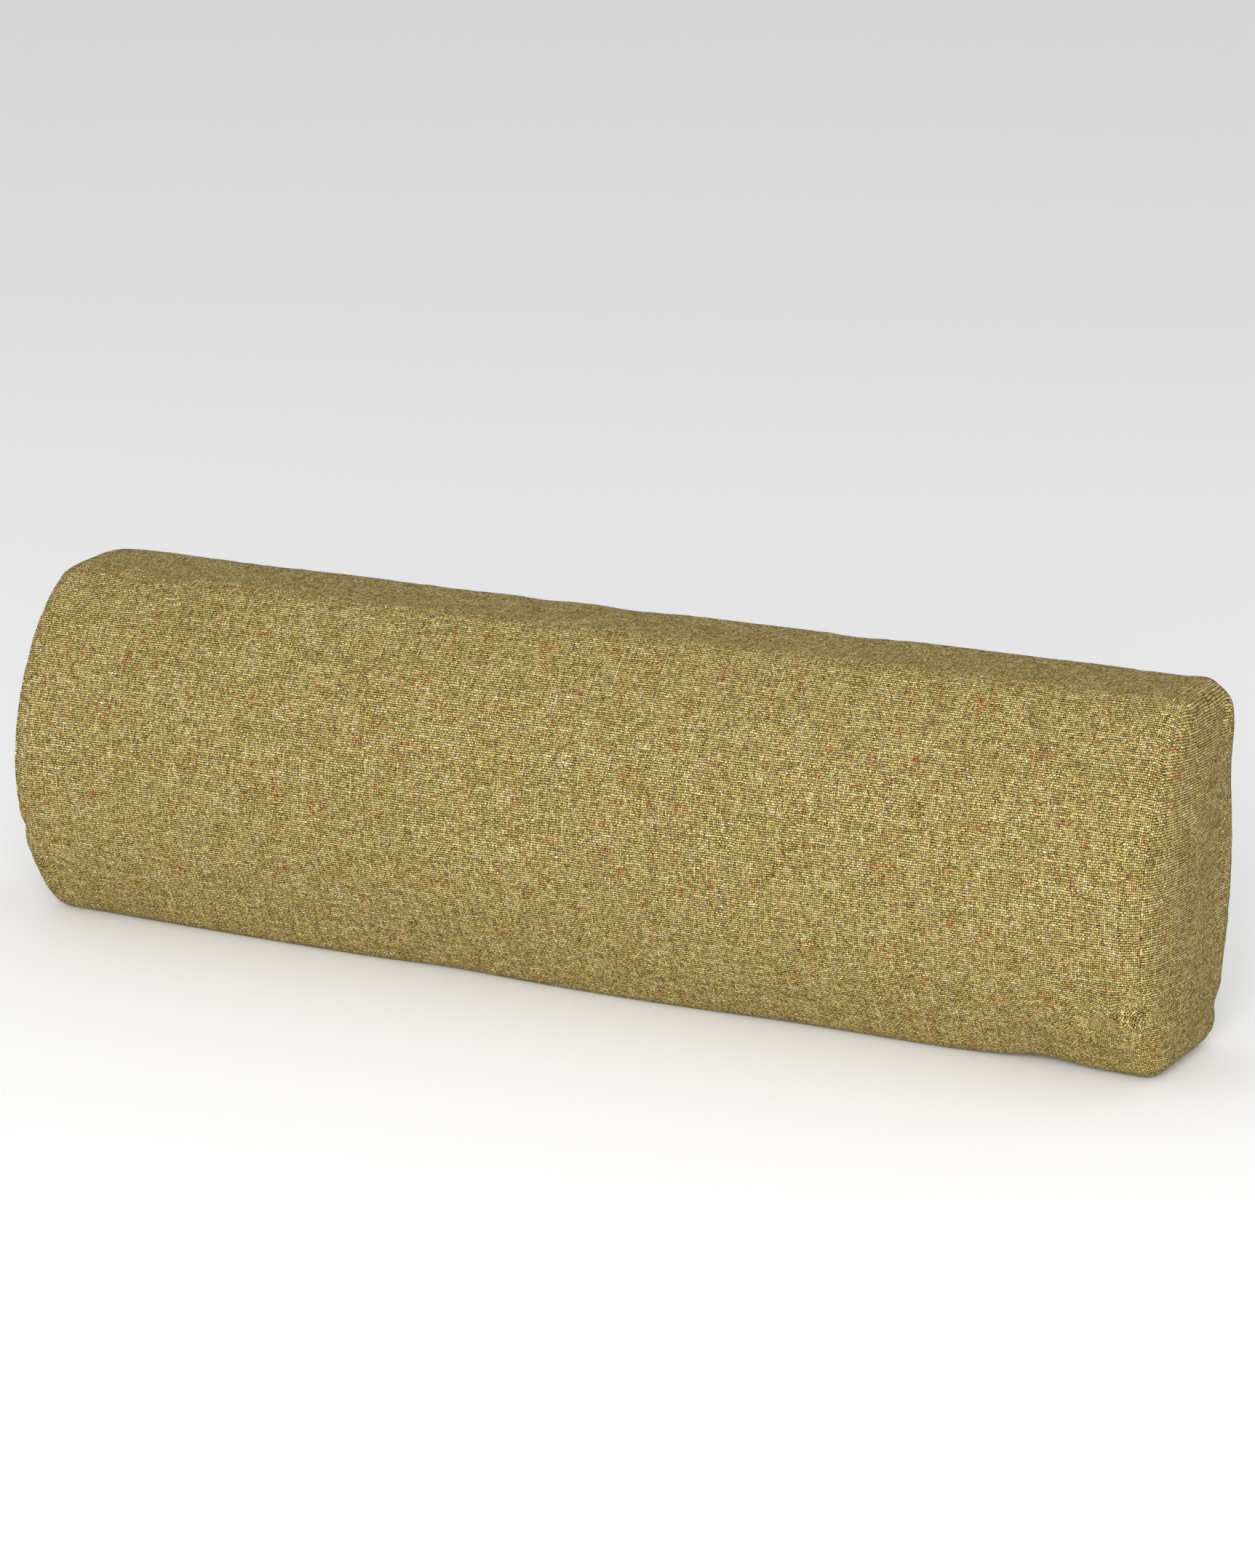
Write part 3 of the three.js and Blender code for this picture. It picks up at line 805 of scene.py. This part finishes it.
def make_hard(name, pale, dark, scale, distance, rough, metallic=0.0):
    """A smooth hard finish: cloudy colour, and a roughness that follows fine scratches."""
    part = Recipe(name, metallic=metallic)
    x, y, z = part.places("Object")
    cloud = part.noise(part.vector(x, y, z), scale, 3, 0.6)
    scratch = part.noise(part.vector(x * 0.15, y, z), scale * 9, 2, 0.7)
    colour = cloud.ramped((0.35, linear(dark)), (0.65, linear(pale)))
    return part.finish(colour, cloud + scratch * 0.3, distance, rough[0] + scratch * (rough[1] - rough[0]))


def make_thread(name="sewing_thread"):
    """Twisted thread: a sine along a slanted direction, so that the plies wind round the stitch. The colour
    follows the twist, so the grooves between the plies carry painted shade.
    """
    thread = Recipe(name, roughness=0.6, sheen_weight=0.2)
    x, y, z = thread.places("Object")
    twist = ((x * 0.8 + z + y * 0.6) * (2 * math.pi / (0.42 * mm))).math("SINE") * 0.5 + 0.5
    tone = thread.noise(thread.vector(x, y, z), 300, 2)
    # painted shade: the colour follows the twist, so the grooves between the plies are darker
    colour = (twist * 0.7 + tone * 0.3).ramped((0.1, linear("6d5e36")), (0.9, linear("a8945c")))
    return thread.finish(colour, twist, 0.05 * mm)


zip_ribbon = make_ribbed("zip_ribbon", "857848", "5d5332", 0.9 * mm, 0.6, 0.08 * mm, 0.8)
label_satin = make_ribbed("label_satin", "f7f5ee", "e2dfd4", 0.5 * mm, 0.15, 0.02 * mm, 0.45)
zip_nylon = make_hard("zip_nylon", "6d6340", "544b2e", 220, 0.02 * mm, (0.32, 0.5))
nickel = make_hard("nickel_plate", "c9c7c0", "a5a39c", 160, 0.01 * mm, (0.2, 0.42), 1.0)
sewing_thread = make_thread()

# %% [markdown]
# ## The tweed cover
# The cover is five panels. One long panel runs from the top back seam over the top, down the front
# and under the bolster to the lower back seam; two D-shaped panels close the ends; and the back is
# two panels with the zip between them. Each panel runs on past its seam and turns in, as a seam
# allowance does. The cloth is stretched over a firm core, so its shape comes from the shared
# surface, and the softness above is pressed into it.

# %% Placing a piece
allowance = np.array([0.15, 1.2, 2.8, 4.4]) * mm
edge_step = 0.12 * mm
seam_room = 0.01 * mm
# how far apart the points are: in the middle of the long and of the short panels, and at seams
long_step, short_step, seam_step = 2.9 * mm, 2.4 * mm, 0.7 * mm


def place(piece, material, slot, *nodes, body="cushion"):
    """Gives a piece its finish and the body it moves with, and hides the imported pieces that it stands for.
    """
    piece.data.materials.append(material)
    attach(piece, body)
    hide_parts(*nodes)
    print(f"{piece.name}: {len(piece.data.polygons)} faces on {body}")
    return piece


def past_seams(middle, first=True, last=True):
    """Adds a seam allowance to a row of places, with one more place just inside each seam, so that
    the cloth turns in sharply. Gives the places on the surface, how far each goes past its seam,
    and the places on the flat cloth."""
    inner = (middle[:1], middle[:1] + edge_step, middle[1:-1], middle[-1:] - edge_step, middle[-1:])
    middle = np.concatenate(inner)
    before = middle[0] - allowance[::-1] if first else allowance[:0]
    after = middle[-1] + allowance if last else allowance[:0]
    flat = np.concatenate([before, middle, after])
    inside = np.clip(flat, middle[0], middle[-1])
    return inside, np.abs(flat - inside), flat


def uncut(over_rows, over_columns):
    """True for points past no more than one seam: allowances are cut away at the corners."""
    return ~((over_rows[:, None] > 0) & (over_columns[None, :] > 0))


def turned_in(points, normals, over_w, over_s, side):
    """Turns the allowances in: they go straight down, a hair on their own side of the seam."""
    over = np.maximum(over_w[:, None], over_s[None, :])
    points = points - normals * over[..., None]
    points[..., 0] -= side * seam_room * (over_w[:, None] > 0)
    return points


# %% Panels that run the length of the bolster
def long_panel(name, layer, first_s, last_s, thickness, spacing=long_step):
    """A panel between two back seams, wrapped round the body from first_s to last_s."""
    w, over_w, flat_w = past_seams(graded(-layer.reach, layer.reach, spacing, seam_step, 20 * mm))
    s, over_s, flat_s = past_seams(graded(first_s, last_s, spacing, seam_step, 12 * mm, swirl_s))
    grid_w, grid_s = np.meshgrid(w, s, indexing="ij")
    points, normals = layer.wall(grid_w, grid_s)
    away_back = np.minimum(grid_s - first_s, last_s - grid_s)
    away_end = layer.reach - np.abs(grid_w)
    points = softened(layer, points, normals, grid_w, grid_s, away_end, away_back)
    points = turned_in(points, normals, over_w, over_s, np.sign(grid_w))
    cloth = np.stack(twisted(*np.meshgrid(flat_w, flat_s, indexing="ij")), axis=-1)
    piece = cloth_panel(name, points, cloth, thickness, normals, uncut(over_w, over_s))
    return piece, (float(np.ptp(flat_w)), float(np.ptp(flat_s)))


front_wrap, flat = long_panel("tweed_front_wrap", cover, seam_top, seam_low, cover_thickness)
place(front_wrap, tweed, "tweed", "cover_front_wrap")

# %% [markdown]
# ### The ends
# A letter D has four corners, so a rectangular grid fits it without a pole: its four sides are the
# back, the top, the rounded front and the underside. The inside of the grid is a Coons patch, the
# smooth blend of those four sides. How far each point stands out depends on how deep inside the
# outline it lies, and a little smoothing takes away the ridges that the corners would leave.


# %% End panels
def d_patch(inset, u, v):
    """Blends the four sides of the D: the two across, plus the two upwards, less the blend of the
    four corners. u runs from the back to the front and v from the underside to the top."""

    def between(start, stop, share):
        """The inset section from start to stop, at each share of the way."""
        y, z, ny, nz = around(start + (stop - start) * share)
        return np.stack([y - inset * ny, z - inset * nz], axis=-1)

    back = between(seam_low - girth, seam_top, v)[None, :]
    front = between(corner_low, corner_top, v)[None, :]
    low = between(seam_low, corner_low, u)[:, None]
    top = between(seam_top, corner_top, u)[:, None]
    u, v = u[:, None, None], v[None, :, None]
    corners = (1 - v) * ((1 - u) * low[:1] + u * low[-1:]) + v * ((1 - u) * top[:1] + u * top[-1:])
    return (1 - u) * back + u * front + (1 - v) * low + v * top - corners


def end_surface(layer, u, v, smoothing=14):
    """Points of the right end, the way they face, the nearest s and the distance to the seam."""
    flat = d_patch(layer.seam_inset, u, v)
    edge_s = np.arange(0, girth, 0.6 * mm)
    off = flat.reshape(-1, 1, 2) - np.stack(around(edge_s)[:2], axis=-1)
    gap = np.hypot(off[..., 0], off[..., 1])
    deep = gap.min(axis=1).reshape(flat.shape[:2])
    s = edge_s[gap.argmin(axis=1)].reshape(deep.shape)
    lean = np.arccos(np.clip(1 - (deep - layer.depth) / layer.round, 0, 1))
    x = half_length - layer.depth - dome(deep) - layer.round * (1 - np.sin(lean))
    for _ in range(smoothing):
        x[1:-1, 1:-1] = (x[:-2, 1:-1] + x[2:, 1:-1] + x[1:-1, :-2] + x[1:-1, 2:]) / 4
    _, _, ny, nz = around(s)
    normals = np.stack([np.sin(lean), np.cos(lean) * ny, np.cos(lean) * nz], axis=-1)
    return np.concatenate([x[..., None], flat], axis=-1), normals, s, deep - layer.seam_inset


def end_panel(name, layer, thickness, side):
    """The D-shaped panel of one end; side is 1 for the right end and -1 for the left."""
    u, over_u, flat_u = past_seams(graded(0, bottom_flat, short_step, seam_step, 10 * mm))
    v, over_v, flat_v = past_seams(graded(0, height, short_step, seam_step, 10 * mm))
    points, normals, s, away = end_surface(layer, u / bottom_flat, v / height)
    points[..., 0] *= side
    normals[..., 0] *= side
    cloth = points[..., 1:].copy()
    w = side * (layer.reach + away)
    away_back = np.minimum(np.abs(s - seam_top), np.abs(s - seam_low))
    points = softened(layer, points, normals, w, s, away, np.hypot(away_back, away))
    over = np.maximum(over_u[:, None], over_v[None, :])
    points = points - normals * over[..., None]
    points[..., 0] += side * seam_room * (over > 0)
    cloth[..., 0] += np.sign(flat_u - u)[:, None] * -over_u[:, None]
    cloth[..., 1] += np.sign(flat_v - v)[None, :] * over_v[None, :]
    return cloth_panel(name, points, cloth, thickness, normals, uncut(over_u, over_v))


# %% The two tweed ends
end_flat = (float(line_y.max() - line_y.min()), float(height))
for side, word in ((1, "right"), (-1, "left")):
    end = end_panel(f"tweed_end_{word}", cover, cover_thickness, side)
    place(end, tweed, "tweed", f"cover_end_{word}")

# %% [markdown]
# ### The back
# The two back panels meet at the zip. Each one is folded under along the opening, and the hem lies
# against the zip tape, so the panel's profile goes down the back, round a tight fold and back
# underneath. Beyond the ends of the zip the two folds come together and are sewn shut.

# %% Back panels
fold_half = 5.95 * mm
fold_radius = cover_thickness + 0.08 * mm
hem_width = 11 * mm
# half the gap between the folds where they are sewn shut
sewn_gap = 0.25 * mm


def half_panel(name, layer, sign):
    """One back panel: sign is 1 above the zip and -1 below it. The rows run along the bolster, and
    each follows the back to the fold, turns through half a circle and runs back as the hem."""
    w, over_w, flat_w = past_seams(graded(-layer.reach, layer.reach, long_step, seam_step, 16 * mm))
    seam = seam_top if sign > 0 else seam_low - girth
    gap = sewn_gap + (fold_half - sewn_gap) * smooth(opening_half + 8 * mm, opening_half, np.abs(w))
    edge = zip_z - height / 2 + sign * (gap + fold_radius)
    length = abs(seam - (zip_z - height / 2)) - fold_half - fold_radius
    run, over, flat_run = past_seams(graded(0, length, short_step, 0.6 * mm, 10 * mm), last=False)
    grid_s = seam + (edge[:, None] - seam) * (run / length)[None, :]
    grid_w = np.broadcast_to(w[:, None], grid_s.shape)
    points, normals = layer.wall(grid_w, grid_s)
    away_end = layer.reach - np.abs(grid_w)
    points = softened(layer, points, normals, grid_w, grid_s, away_end, np.abs(grid_s - seam))

    bend = np.linspace(0, math.pi, 9)[1:]
    hem = np.linspace(0, hem_width, 7)[1:]
    across = sign * np.concatenate([-fold_radius * np.sin(bend), hem])
    under = np.concatenate([fold_radius * (1 - np.cos(bend)), np.full(6, 2 * fold_radius)])
    last, way = points[:, -1:], normals[:, -1:]
    tail = last - way * under[None, :, None] + across[None, :, None] * np.array([0, 0, 1.0])
    points = np.concatenate([points, tail], axis=1)
    normals = np.concatenate([normals, np.repeat(way, len(under), axis=1)], axis=1)
    over = np.concatenate([over, np.zeros(len(under))])
    points = turned_in(points, normals, over_w, over, np.sign(w)[:, None])
    tail_run = np.concatenate([fold_radius * bend, math.pi * fold_radius + hem])
    body_run = flat_run * (np.abs(edge - seam) / length)[:, None]
    cloth_run = np.concatenate([body_run, body_run[:, -1:] + tail_run], axis=1)
    cloth = np.stack([np.broadcast_to(flat_w[:, None], cloth_run.shape), cloth_run * -sign], axis=-1)
    outward = normals.copy()
    outward[:, -len(under):] = 0
    piece = cloth_panel(name, points, cloth, cover_thickness, outward, uncut(over_w, over))
    return piece, (float(np.ptp(flat_w)), float(np.ptp(flat_run) + tail_run[-1]))


for sign, word in ((1, "upper"), (-1, "lower")):
    half, flat = half_panel(f"tweed_back_{word}", cover, sign)
    place(half, tweed, "tweed", f"cover_back_{word}")

# %% [markdown]
# ## The inner case
# Under the tweed the filling has a case of its own, cut like the cover but in thin bonded cloth,
# and with one plain panel for its back. It dips under the zip, and it is pressed in along the
# cover's seams, where the seam allowances of the tweed need the room.

# %% Inner case
lining_thickness = 0.6 * mm
case_panels = (("front_wrap", seam_top, seam_low), ("back", seam_low - girth, seam_top))
for word, first_s, last_s in case_panels:
    panel, flat = long_panel(f"case_{word}", lining, first_s, last_s, lining_thickness, 5 * mm)
    place(panel, lining_cloth, "lining_cloth", f"lining_{word}")
for side, word in ((1, "right"), (-1, "left")):
    end = end_panel(f"case_end_{word}", lining, lining_thickness, side)
    place(end, lining_cloth, "lining_cloth", f"lining_end_{word}")

# %% [markdown]
# ## Wadding and foam
# A blanket of wadding is wrapped once round the foam, and a pad of it covers each end. A tube and
# two lids are surfaces of the same two numbers: w along the bolster and s round it. The lids and
# the foam run on over the end to a pole. The foam is cut with a knife, so it has no softness.


# %% Wadding
def padded_shell(name, w):
    """Wadding between two depths: the outer surface is soft and the inner one lies on the foam.
    The inner rim starts at the same x as the outer one."""
    s = np.linspace(0, girth, 161)[:-1]
    share = (w - w[0]) / (w[-1] - w[0])
    outer, normals = wadding_out.wall(w[:, None], s[None, :])
    away = np.abs(wadding_out.reach - np.abs(w))[:, None] + 0 * s[None, :]
    away_back = np.minimum(np.abs(s - seam_top), np.abs(s - seam_low))[None, :] + 0 * w[:, None]
    outer = softened(wadding_out, outer, normals, w[:, None], s[None, :], away, away_back)
    stop = w[-1] if abs(w[-1]) < wadding_out.rim else np.sign(w[-1]) * (wadding_in.rim + 1)
    inner_w = w[0] + (stop - w[0]) * share
    if abs(w[-1]) > wadding_out.rim:
        inner_w = np.interp(np.abs(w), pad_places, pad_places_inside) * np.sign(w)
    inner, _ = wadding_in.wall(inner_w[:, None], s[None, :])
    cloth = np.zeros((*outer.shape[:2], 2))
    faces = quads(*outer.shape[:2], wrap=True)
    return sandwich(name, outer, inner, faces, cloth, poles=True)


tube_half = 318.2 * mm
lid_gap = 0.4 * mm
pad_places = np.array([tube_half + lid_gap, wadding_out.straight, wadding_out.rim, wadding_out.rim + 1])
pad_places_inside = np.array([tube_half + lid_gap, wadding_in.straight, wadding_in.rim, wadding_in.rim + 1])
pad_rows = np.concatenate([
    np.linspace(pad_places[0], pad_places[1], 3)[:-1],
    np.linspace(pad_places[1], pad_places[2], 14)[:-1],
    pad_places[2] + np.linspace(0, 1, 26),
])
tube = padded_shell("wadding_tube", graded(-tube_half, tube_half, 5 * mm, 2 * mm, 16 * mm))
place(tube, wadding_fibre, "wadding_fibre", "wadding_wrap")
for side, word in ((1, "right"), (-1, "left")):
    lid = padded_shell(f"wadding_lid_{word}", pad_rows * side)
    place(lid, wadding_fibre, "wadding_fibre", f"wadding_end_{word}")


# %% Foam
def cut_block(name, layer):
    """The foam: the layer's surface from pole to pole, with a small round on its cut edges."""
    s = np.linspace(0, girth, 181)[:-1]
    half = np.concatenate([
        np.linspace(0, layer.straight, 60)[:-1],
        np.linspace(layer.straight, layer.rim, 6)[:-1],
        layer.rim + np.linspace(0, 1, 24)[:-1],
    ])
    w = np.concatenate([-half[:0:-1], half])
    points, _ = layer.wall(w[:, None], s[None, :])
    return closed_piece(name, points)


core = place(cut_block("foam_block", foam), cut_foam, "foam", "foam_core")

# %% [markdown]
# ## The zip
# A coil zip has two woven tapes, and sewn to the edge of each a coil of nylon wire, wound like a
# flattened spring. A wire wound round a line is a profile carried along a helix, and that is how it
# is made here. The small metal clamps that stop the slider are rounded blocks: every direction on a
# sphere gives the block's corner in that direction plus a radius towards it.


# %% Tubes and rounded blocks
def tube_rings(path, across, over, up, sides=6):
    """An oval profile carried along a path: its width lies along the side, which is the path's
    direction crossed with up, and its height along the direction at right angles to both."""
    forward = unit(np.gradient(path, axis=0))
    side = unit(np.cross(forward, up))
    above = np.cross(side, forward)
    turn = np.arange(sides) * 2 * math.pi / sides
    ring = across * np.cos(turn)[None, :, None] * side[:, None]
    return path[:, None] + ring + over * np.sin(turn)[None, :, None] * above[:, None]


def rounded_block(low, high, radius, rows=8, sides=12):
    """Directions on a sphere: each point is the middle, plus the half size less the radius towards
    the direction's signs, plus the radius along the direction."""
    middle, half = (np.array(low) + high) / 2, (np.array(high) - low) / 2
    tilt = (np.arange(rows) + 0.5) / rows * math.pi - math.pi / 2
    turn = (np.arange(sides) + 0.5) / sides * 2 * math.pi
    tilt, turn = np.meshgrid(tilt, turn, indexing="ij")
    way = np.stack([np.sin(tilt), np.cos(tilt) * np.cos(turn), np.cos(tilt) * np.sin(turn)], axis=-1)
    return middle + np.sign(way) * (half - radius) + radius * way


# %% Zip tapes
ripple_height, ripple_length = 0.05 * mm, 37 * mm
ripple_room = 0.06 * mm


def tape(name, low, high):
    """A flat ribbon: its height is even apart from a slow ripple."""
    x = np.linspace(low.x, high.x, 200)
    z = np.linspace(low.z, high.z, 9)
    grid_x, grid_z = np.meshgrid(x, z, indexing="ij")
    ripple = ripple_height * np.sin(grid_x / ripple_length * 2 * math.pi)
    outer = np.stack([grid_x, high.y - ripple_room + ripple, grid_z], axis=-1)
    inner = outer - (0, high.y - low.y - 2 * ripple_room, 0)
    cloth = np.stack([grid_x, grid_z], axis=-1)
    return sandwich(name, outer, inner, quads(*grid_x.shape), cloth)


for word in ("upper", "lower"):
    low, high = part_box(f"zip_tape_{word}")
    ribbon = place(tape(f"zip_ribbon_{word}", low, high), zip_ribbon, "zip_tape", f"zip_tape_{word}")

# %% Zip coils
coil_pitch = 1.3 * mm
wire = 0.32 * mm


def coil(name, low, high, shift):
    """A helix: it goes round an oval across the zip once for every pitch along it."""
    steps = 12
    turns = (high.x - low.x - 2 * wire) / coil_pitch
    turn = np.linspace(0, turns * 2 * math.pi, int(turns * steps)) + shift
    x = low.x + wire + (turn - shift) / (2 * math.pi) * coil_pitch
    y = (low.y + high.y) / 2 + ((high.y - low.y) / 2 - wire) * np.sin(turn)
    z = (low.z + high.z) / 2 + ((high.z - low.z) / 2 - wire) * np.cos(turn)
    path = np.stack([x, y, z], axis=-1)
    return closed_piece(name, tube_rings(path, wire, wire, np.array([1.0, 0, 0]), 5))


for word, shift in (("upper", 0.0), ("lower", math.pi)):
    low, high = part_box(f"zip_coil_{word}")
    place(coil(f"nylon_coil_{word}", low, high, shift), zip_nylon, "zip_nylon", f"zip_coil_{word}")

# %% Zip stops
for node in ("zip_top_stop_upper", "zip_top_stop_lower", "zip_bottom_stop"):
    low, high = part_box(node)
    clamp = rounded_block(low, high, 0.7 * mm)
    place(closed_piece(f"{node}_clamp", clamp), nickel, "zip_metal", node)

# %% [markdown]
# ### Slider and pull tab
# The slider's channel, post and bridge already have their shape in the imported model, with corners
# as sharp as a drawing's. Cast metal has none, so a copy of each is merged into one skin and its
# edges are rounded with a bevel.


# %% Slider and pull tab
def cast_metal(name, node, radius, body):
    """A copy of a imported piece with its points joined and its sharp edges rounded."""
    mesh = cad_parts[node].data.copy()
    mesh.name = name
    mesh.materials.clear()
    work = bmesh.new()
    work.from_mesh(mesh)
    bmesh.ops.remove_doubles(work, verts=work.verts, dist=1e-6)
    bmesh.ops.dissolve_limit(work, angle_limit=math.radians(3), verts=work.verts, edges=work.edges)
    work.to_mesh(mesh)
    work.free()
    mesh.polygons.foreach_set("use_smooth", np.ones(len(mesh.polygons), dtype=bool))
    piece = bpy.data.objects.new(name, mesh)
    bpy.context.collection.objects.link(piece)
    bevel = piece.modifiers.new("rounded edges", "BEVEL")
    bevel.width = radius
    bevel.segments = 3
    bevel.limit_method = "ANGLE"
    bevel.angle_limit = math.radians(35)
    bevel.harden_normals = True
    return place(piece, nickel, "zip_metal", node, body=body)


cast_metal("slider", "zip_slider_body", 0.18 * mm, "zip_slider")
cast_metal("pull_tab", "zip_pull_tab", 0.25 * mm, "zip_pull")

# %% [markdown]
# ### Stitches and label
# Two rows of stitches hold the folded hems to the tapes. Each stitch is a short length of thread
# that dives into the cloth at both ends, so one is made and then repeated. The opening ends in a
# bartack, a tight zigzag sewn across the zip. A blank satin label lies inside the back.


# %% Topstitching
def stitch(length, across, over):
    """One stitch: its thickness follows the square root of a sine, and its ends dip."""
    share = np.linspace(0.02, 0.98, 7)
    path = np.stack([(share - 0.5) * length, -over * (2 * share - 1) ** 4, 0 * share], axis=-1)
    rings = tube_rings(path, 1.0, 1.0, np.array([0, 1.0, 0])) - path[:, None]
    swell = np.sqrt(np.sin(share * math.pi))[:, None, None]
    return path[:, None] + rings * swell * (across, over, across)


stitch_pitch = 3.6 * mm
stitch_length, stitch_width, stitch_rise = 3.1 * mm, 0.32 * mm, 0.3 * mm
stitch_lift = 0.1 * mm
for word in ("upper", "lower"):
    low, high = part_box(f"zip_stitch_{word}")
    count = int((high.x - low.x) / stitch_pitch)
    x = (np.arange(count) - (count - 1) / 2) * stitch_pitch
    middle = (low + high) / 2
    offsets = np.stack([x, np.full(count, low.y + stitch_lift), np.full(count, middle.z)], axis=-1)
    row = closed_piece(f"topstitch_{word}", stitch(stitch_length, stitch_width, stitch_rise), offsets)
    place(row, sewing_thread, "sewing_thread", f"zip_stitch_{word}")


# %% Bartacks
tack_width, tack_rise = 0.24 * mm, 0.2 * mm
tack_margin = 0.3 * mm


def zigzag(low, high, passes=26):
    """Thread laid to and fro: along by an even amount, across by a rounded triangle wave."""
    t = np.linspace(0, passes * math.pi, passes * 8)
    z = low.z + tack_margin + (high.z - low.z - 2 * tack_margin) * t / t[-1]
    swing = np.arcsin(np.sin(t) * 0.97) / (math.pi / 2)
    x = (low.x + high.x) / 2 + ((high.x - low.x) / 2 - 0.25 * mm) * swing
    y = low.y + tack_rise + 0.06 * mm * np.cos(t * 2)
    return tube_rings(np.stack([x, y, z], axis=-1), tack_width, tack_rise, np.array([0, 1.0, 0]))


for word in ("right", "left"):
    low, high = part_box(f"bartack_{word}")
    tack = closed_piece(f"zigzag_tack_{word}", zigzag(low, high))
    place(tack, sewing_thread, "sewing_thread", f"bartack_{word}")


# %% Label
def label(name, low, high):
    """A blank ribbon that lies between case and cover and follows the softness of the back."""
    x = np.linspace(low.x, high.x, 24)
    s = np.linspace(low.z, high.z, 17) - height / 2
    grid_x, grid_s = np.meshgrid(x, s, indexing="ij")
    middle = Layer(back_y - high.y, cover.groove, 0)
    points, normals = middle.wall(grid_x, grid_s)
    away_back = np.abs(seam_top - grid_s)
    points = softened(middle, points, normals, grid_x, grid_s, cover.reach - grid_x, away_back)
    cloth = np.stack([grid_x, grid_s], axis=-1)
    return cloth_panel(name, points, cloth, high.y - low.y - 0.05 * mm, normals)


low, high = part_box("care_label")
ribbon = place(label("blank_label", low, high), label_satin, "label_satin", "care_label")

# %% [markdown]
# ## A plain studio
# A pale floor, pale surroundings and large soft lights. The strongest light stands to the right of
# the front and low, so the rounded front is the brightest face, the end is a little darker and the
# top darker still. The surroundings give the rest, so no shadow is hard.


# %% Floor and lights
def area_light(name, azimuth, elevation, distance, size, power):
    """A round soft light aimed at the middle of the bolster."""
    data = bpy.data.lights.new(name, "AREA")
    data.shape = "DISK"
    data.size = size
    data.energy = power
    return looking(data, (0, 0, height / 2), azimuth, elevation, distance)


def make_floor(name, width):
    """A level sheet with a faint grain, pale enough to fade into the surroundings."""
    side = np.linspace(-width / 2, width / 2, 9)
    x, y = np.meshgrid(side, side, indexing="ij")
    points = np.stack([x, y, 0 * x - 0.3 * mm], axis=-1)
    piece = mesh_piece(name, points, quads(9, 9))
    paper = Recipe("pale_paper", roughness=0.9)
    grain_x, grain_y, _ = paper.places("Object")
    grain = paper.noise(paper.vector(grain_x, grain_y), 900, 3)
    colour = grain.ramped((0.3, (0.82, 0.82, 0.82)), (0.7, (0.88, 0.88, 0.88)))
    piece.data.materials.append(paper.finish(colour, grain, 0.02 * mm))
    return piece


floor_width = 24.0
surroundings_strength = 0.76
# each light: azimuth, elevation, distance, size and power
key_light = (24, 18, 3.2, 1.8, 110)
left_fill = (-50, 20, 3.2, 2.2, 10)

make_floor("floor", floor_width)
area_light("key_light", *key_light)
area_light("left_fill", *left_fill)

world = bpy.data.worlds.new("pale_surroundings")
world.use_nodes = True
world.node_tree.nodes["Background"].inputs["Color"].default_value = (1, 1, 1, 1)
world.node_tree.nodes["Background"].inputs["Strength"].default_value = surroundings_strength
bpy.context.scene.world = world
bpy.context.scene.view_settings.view_transform = "Standard"
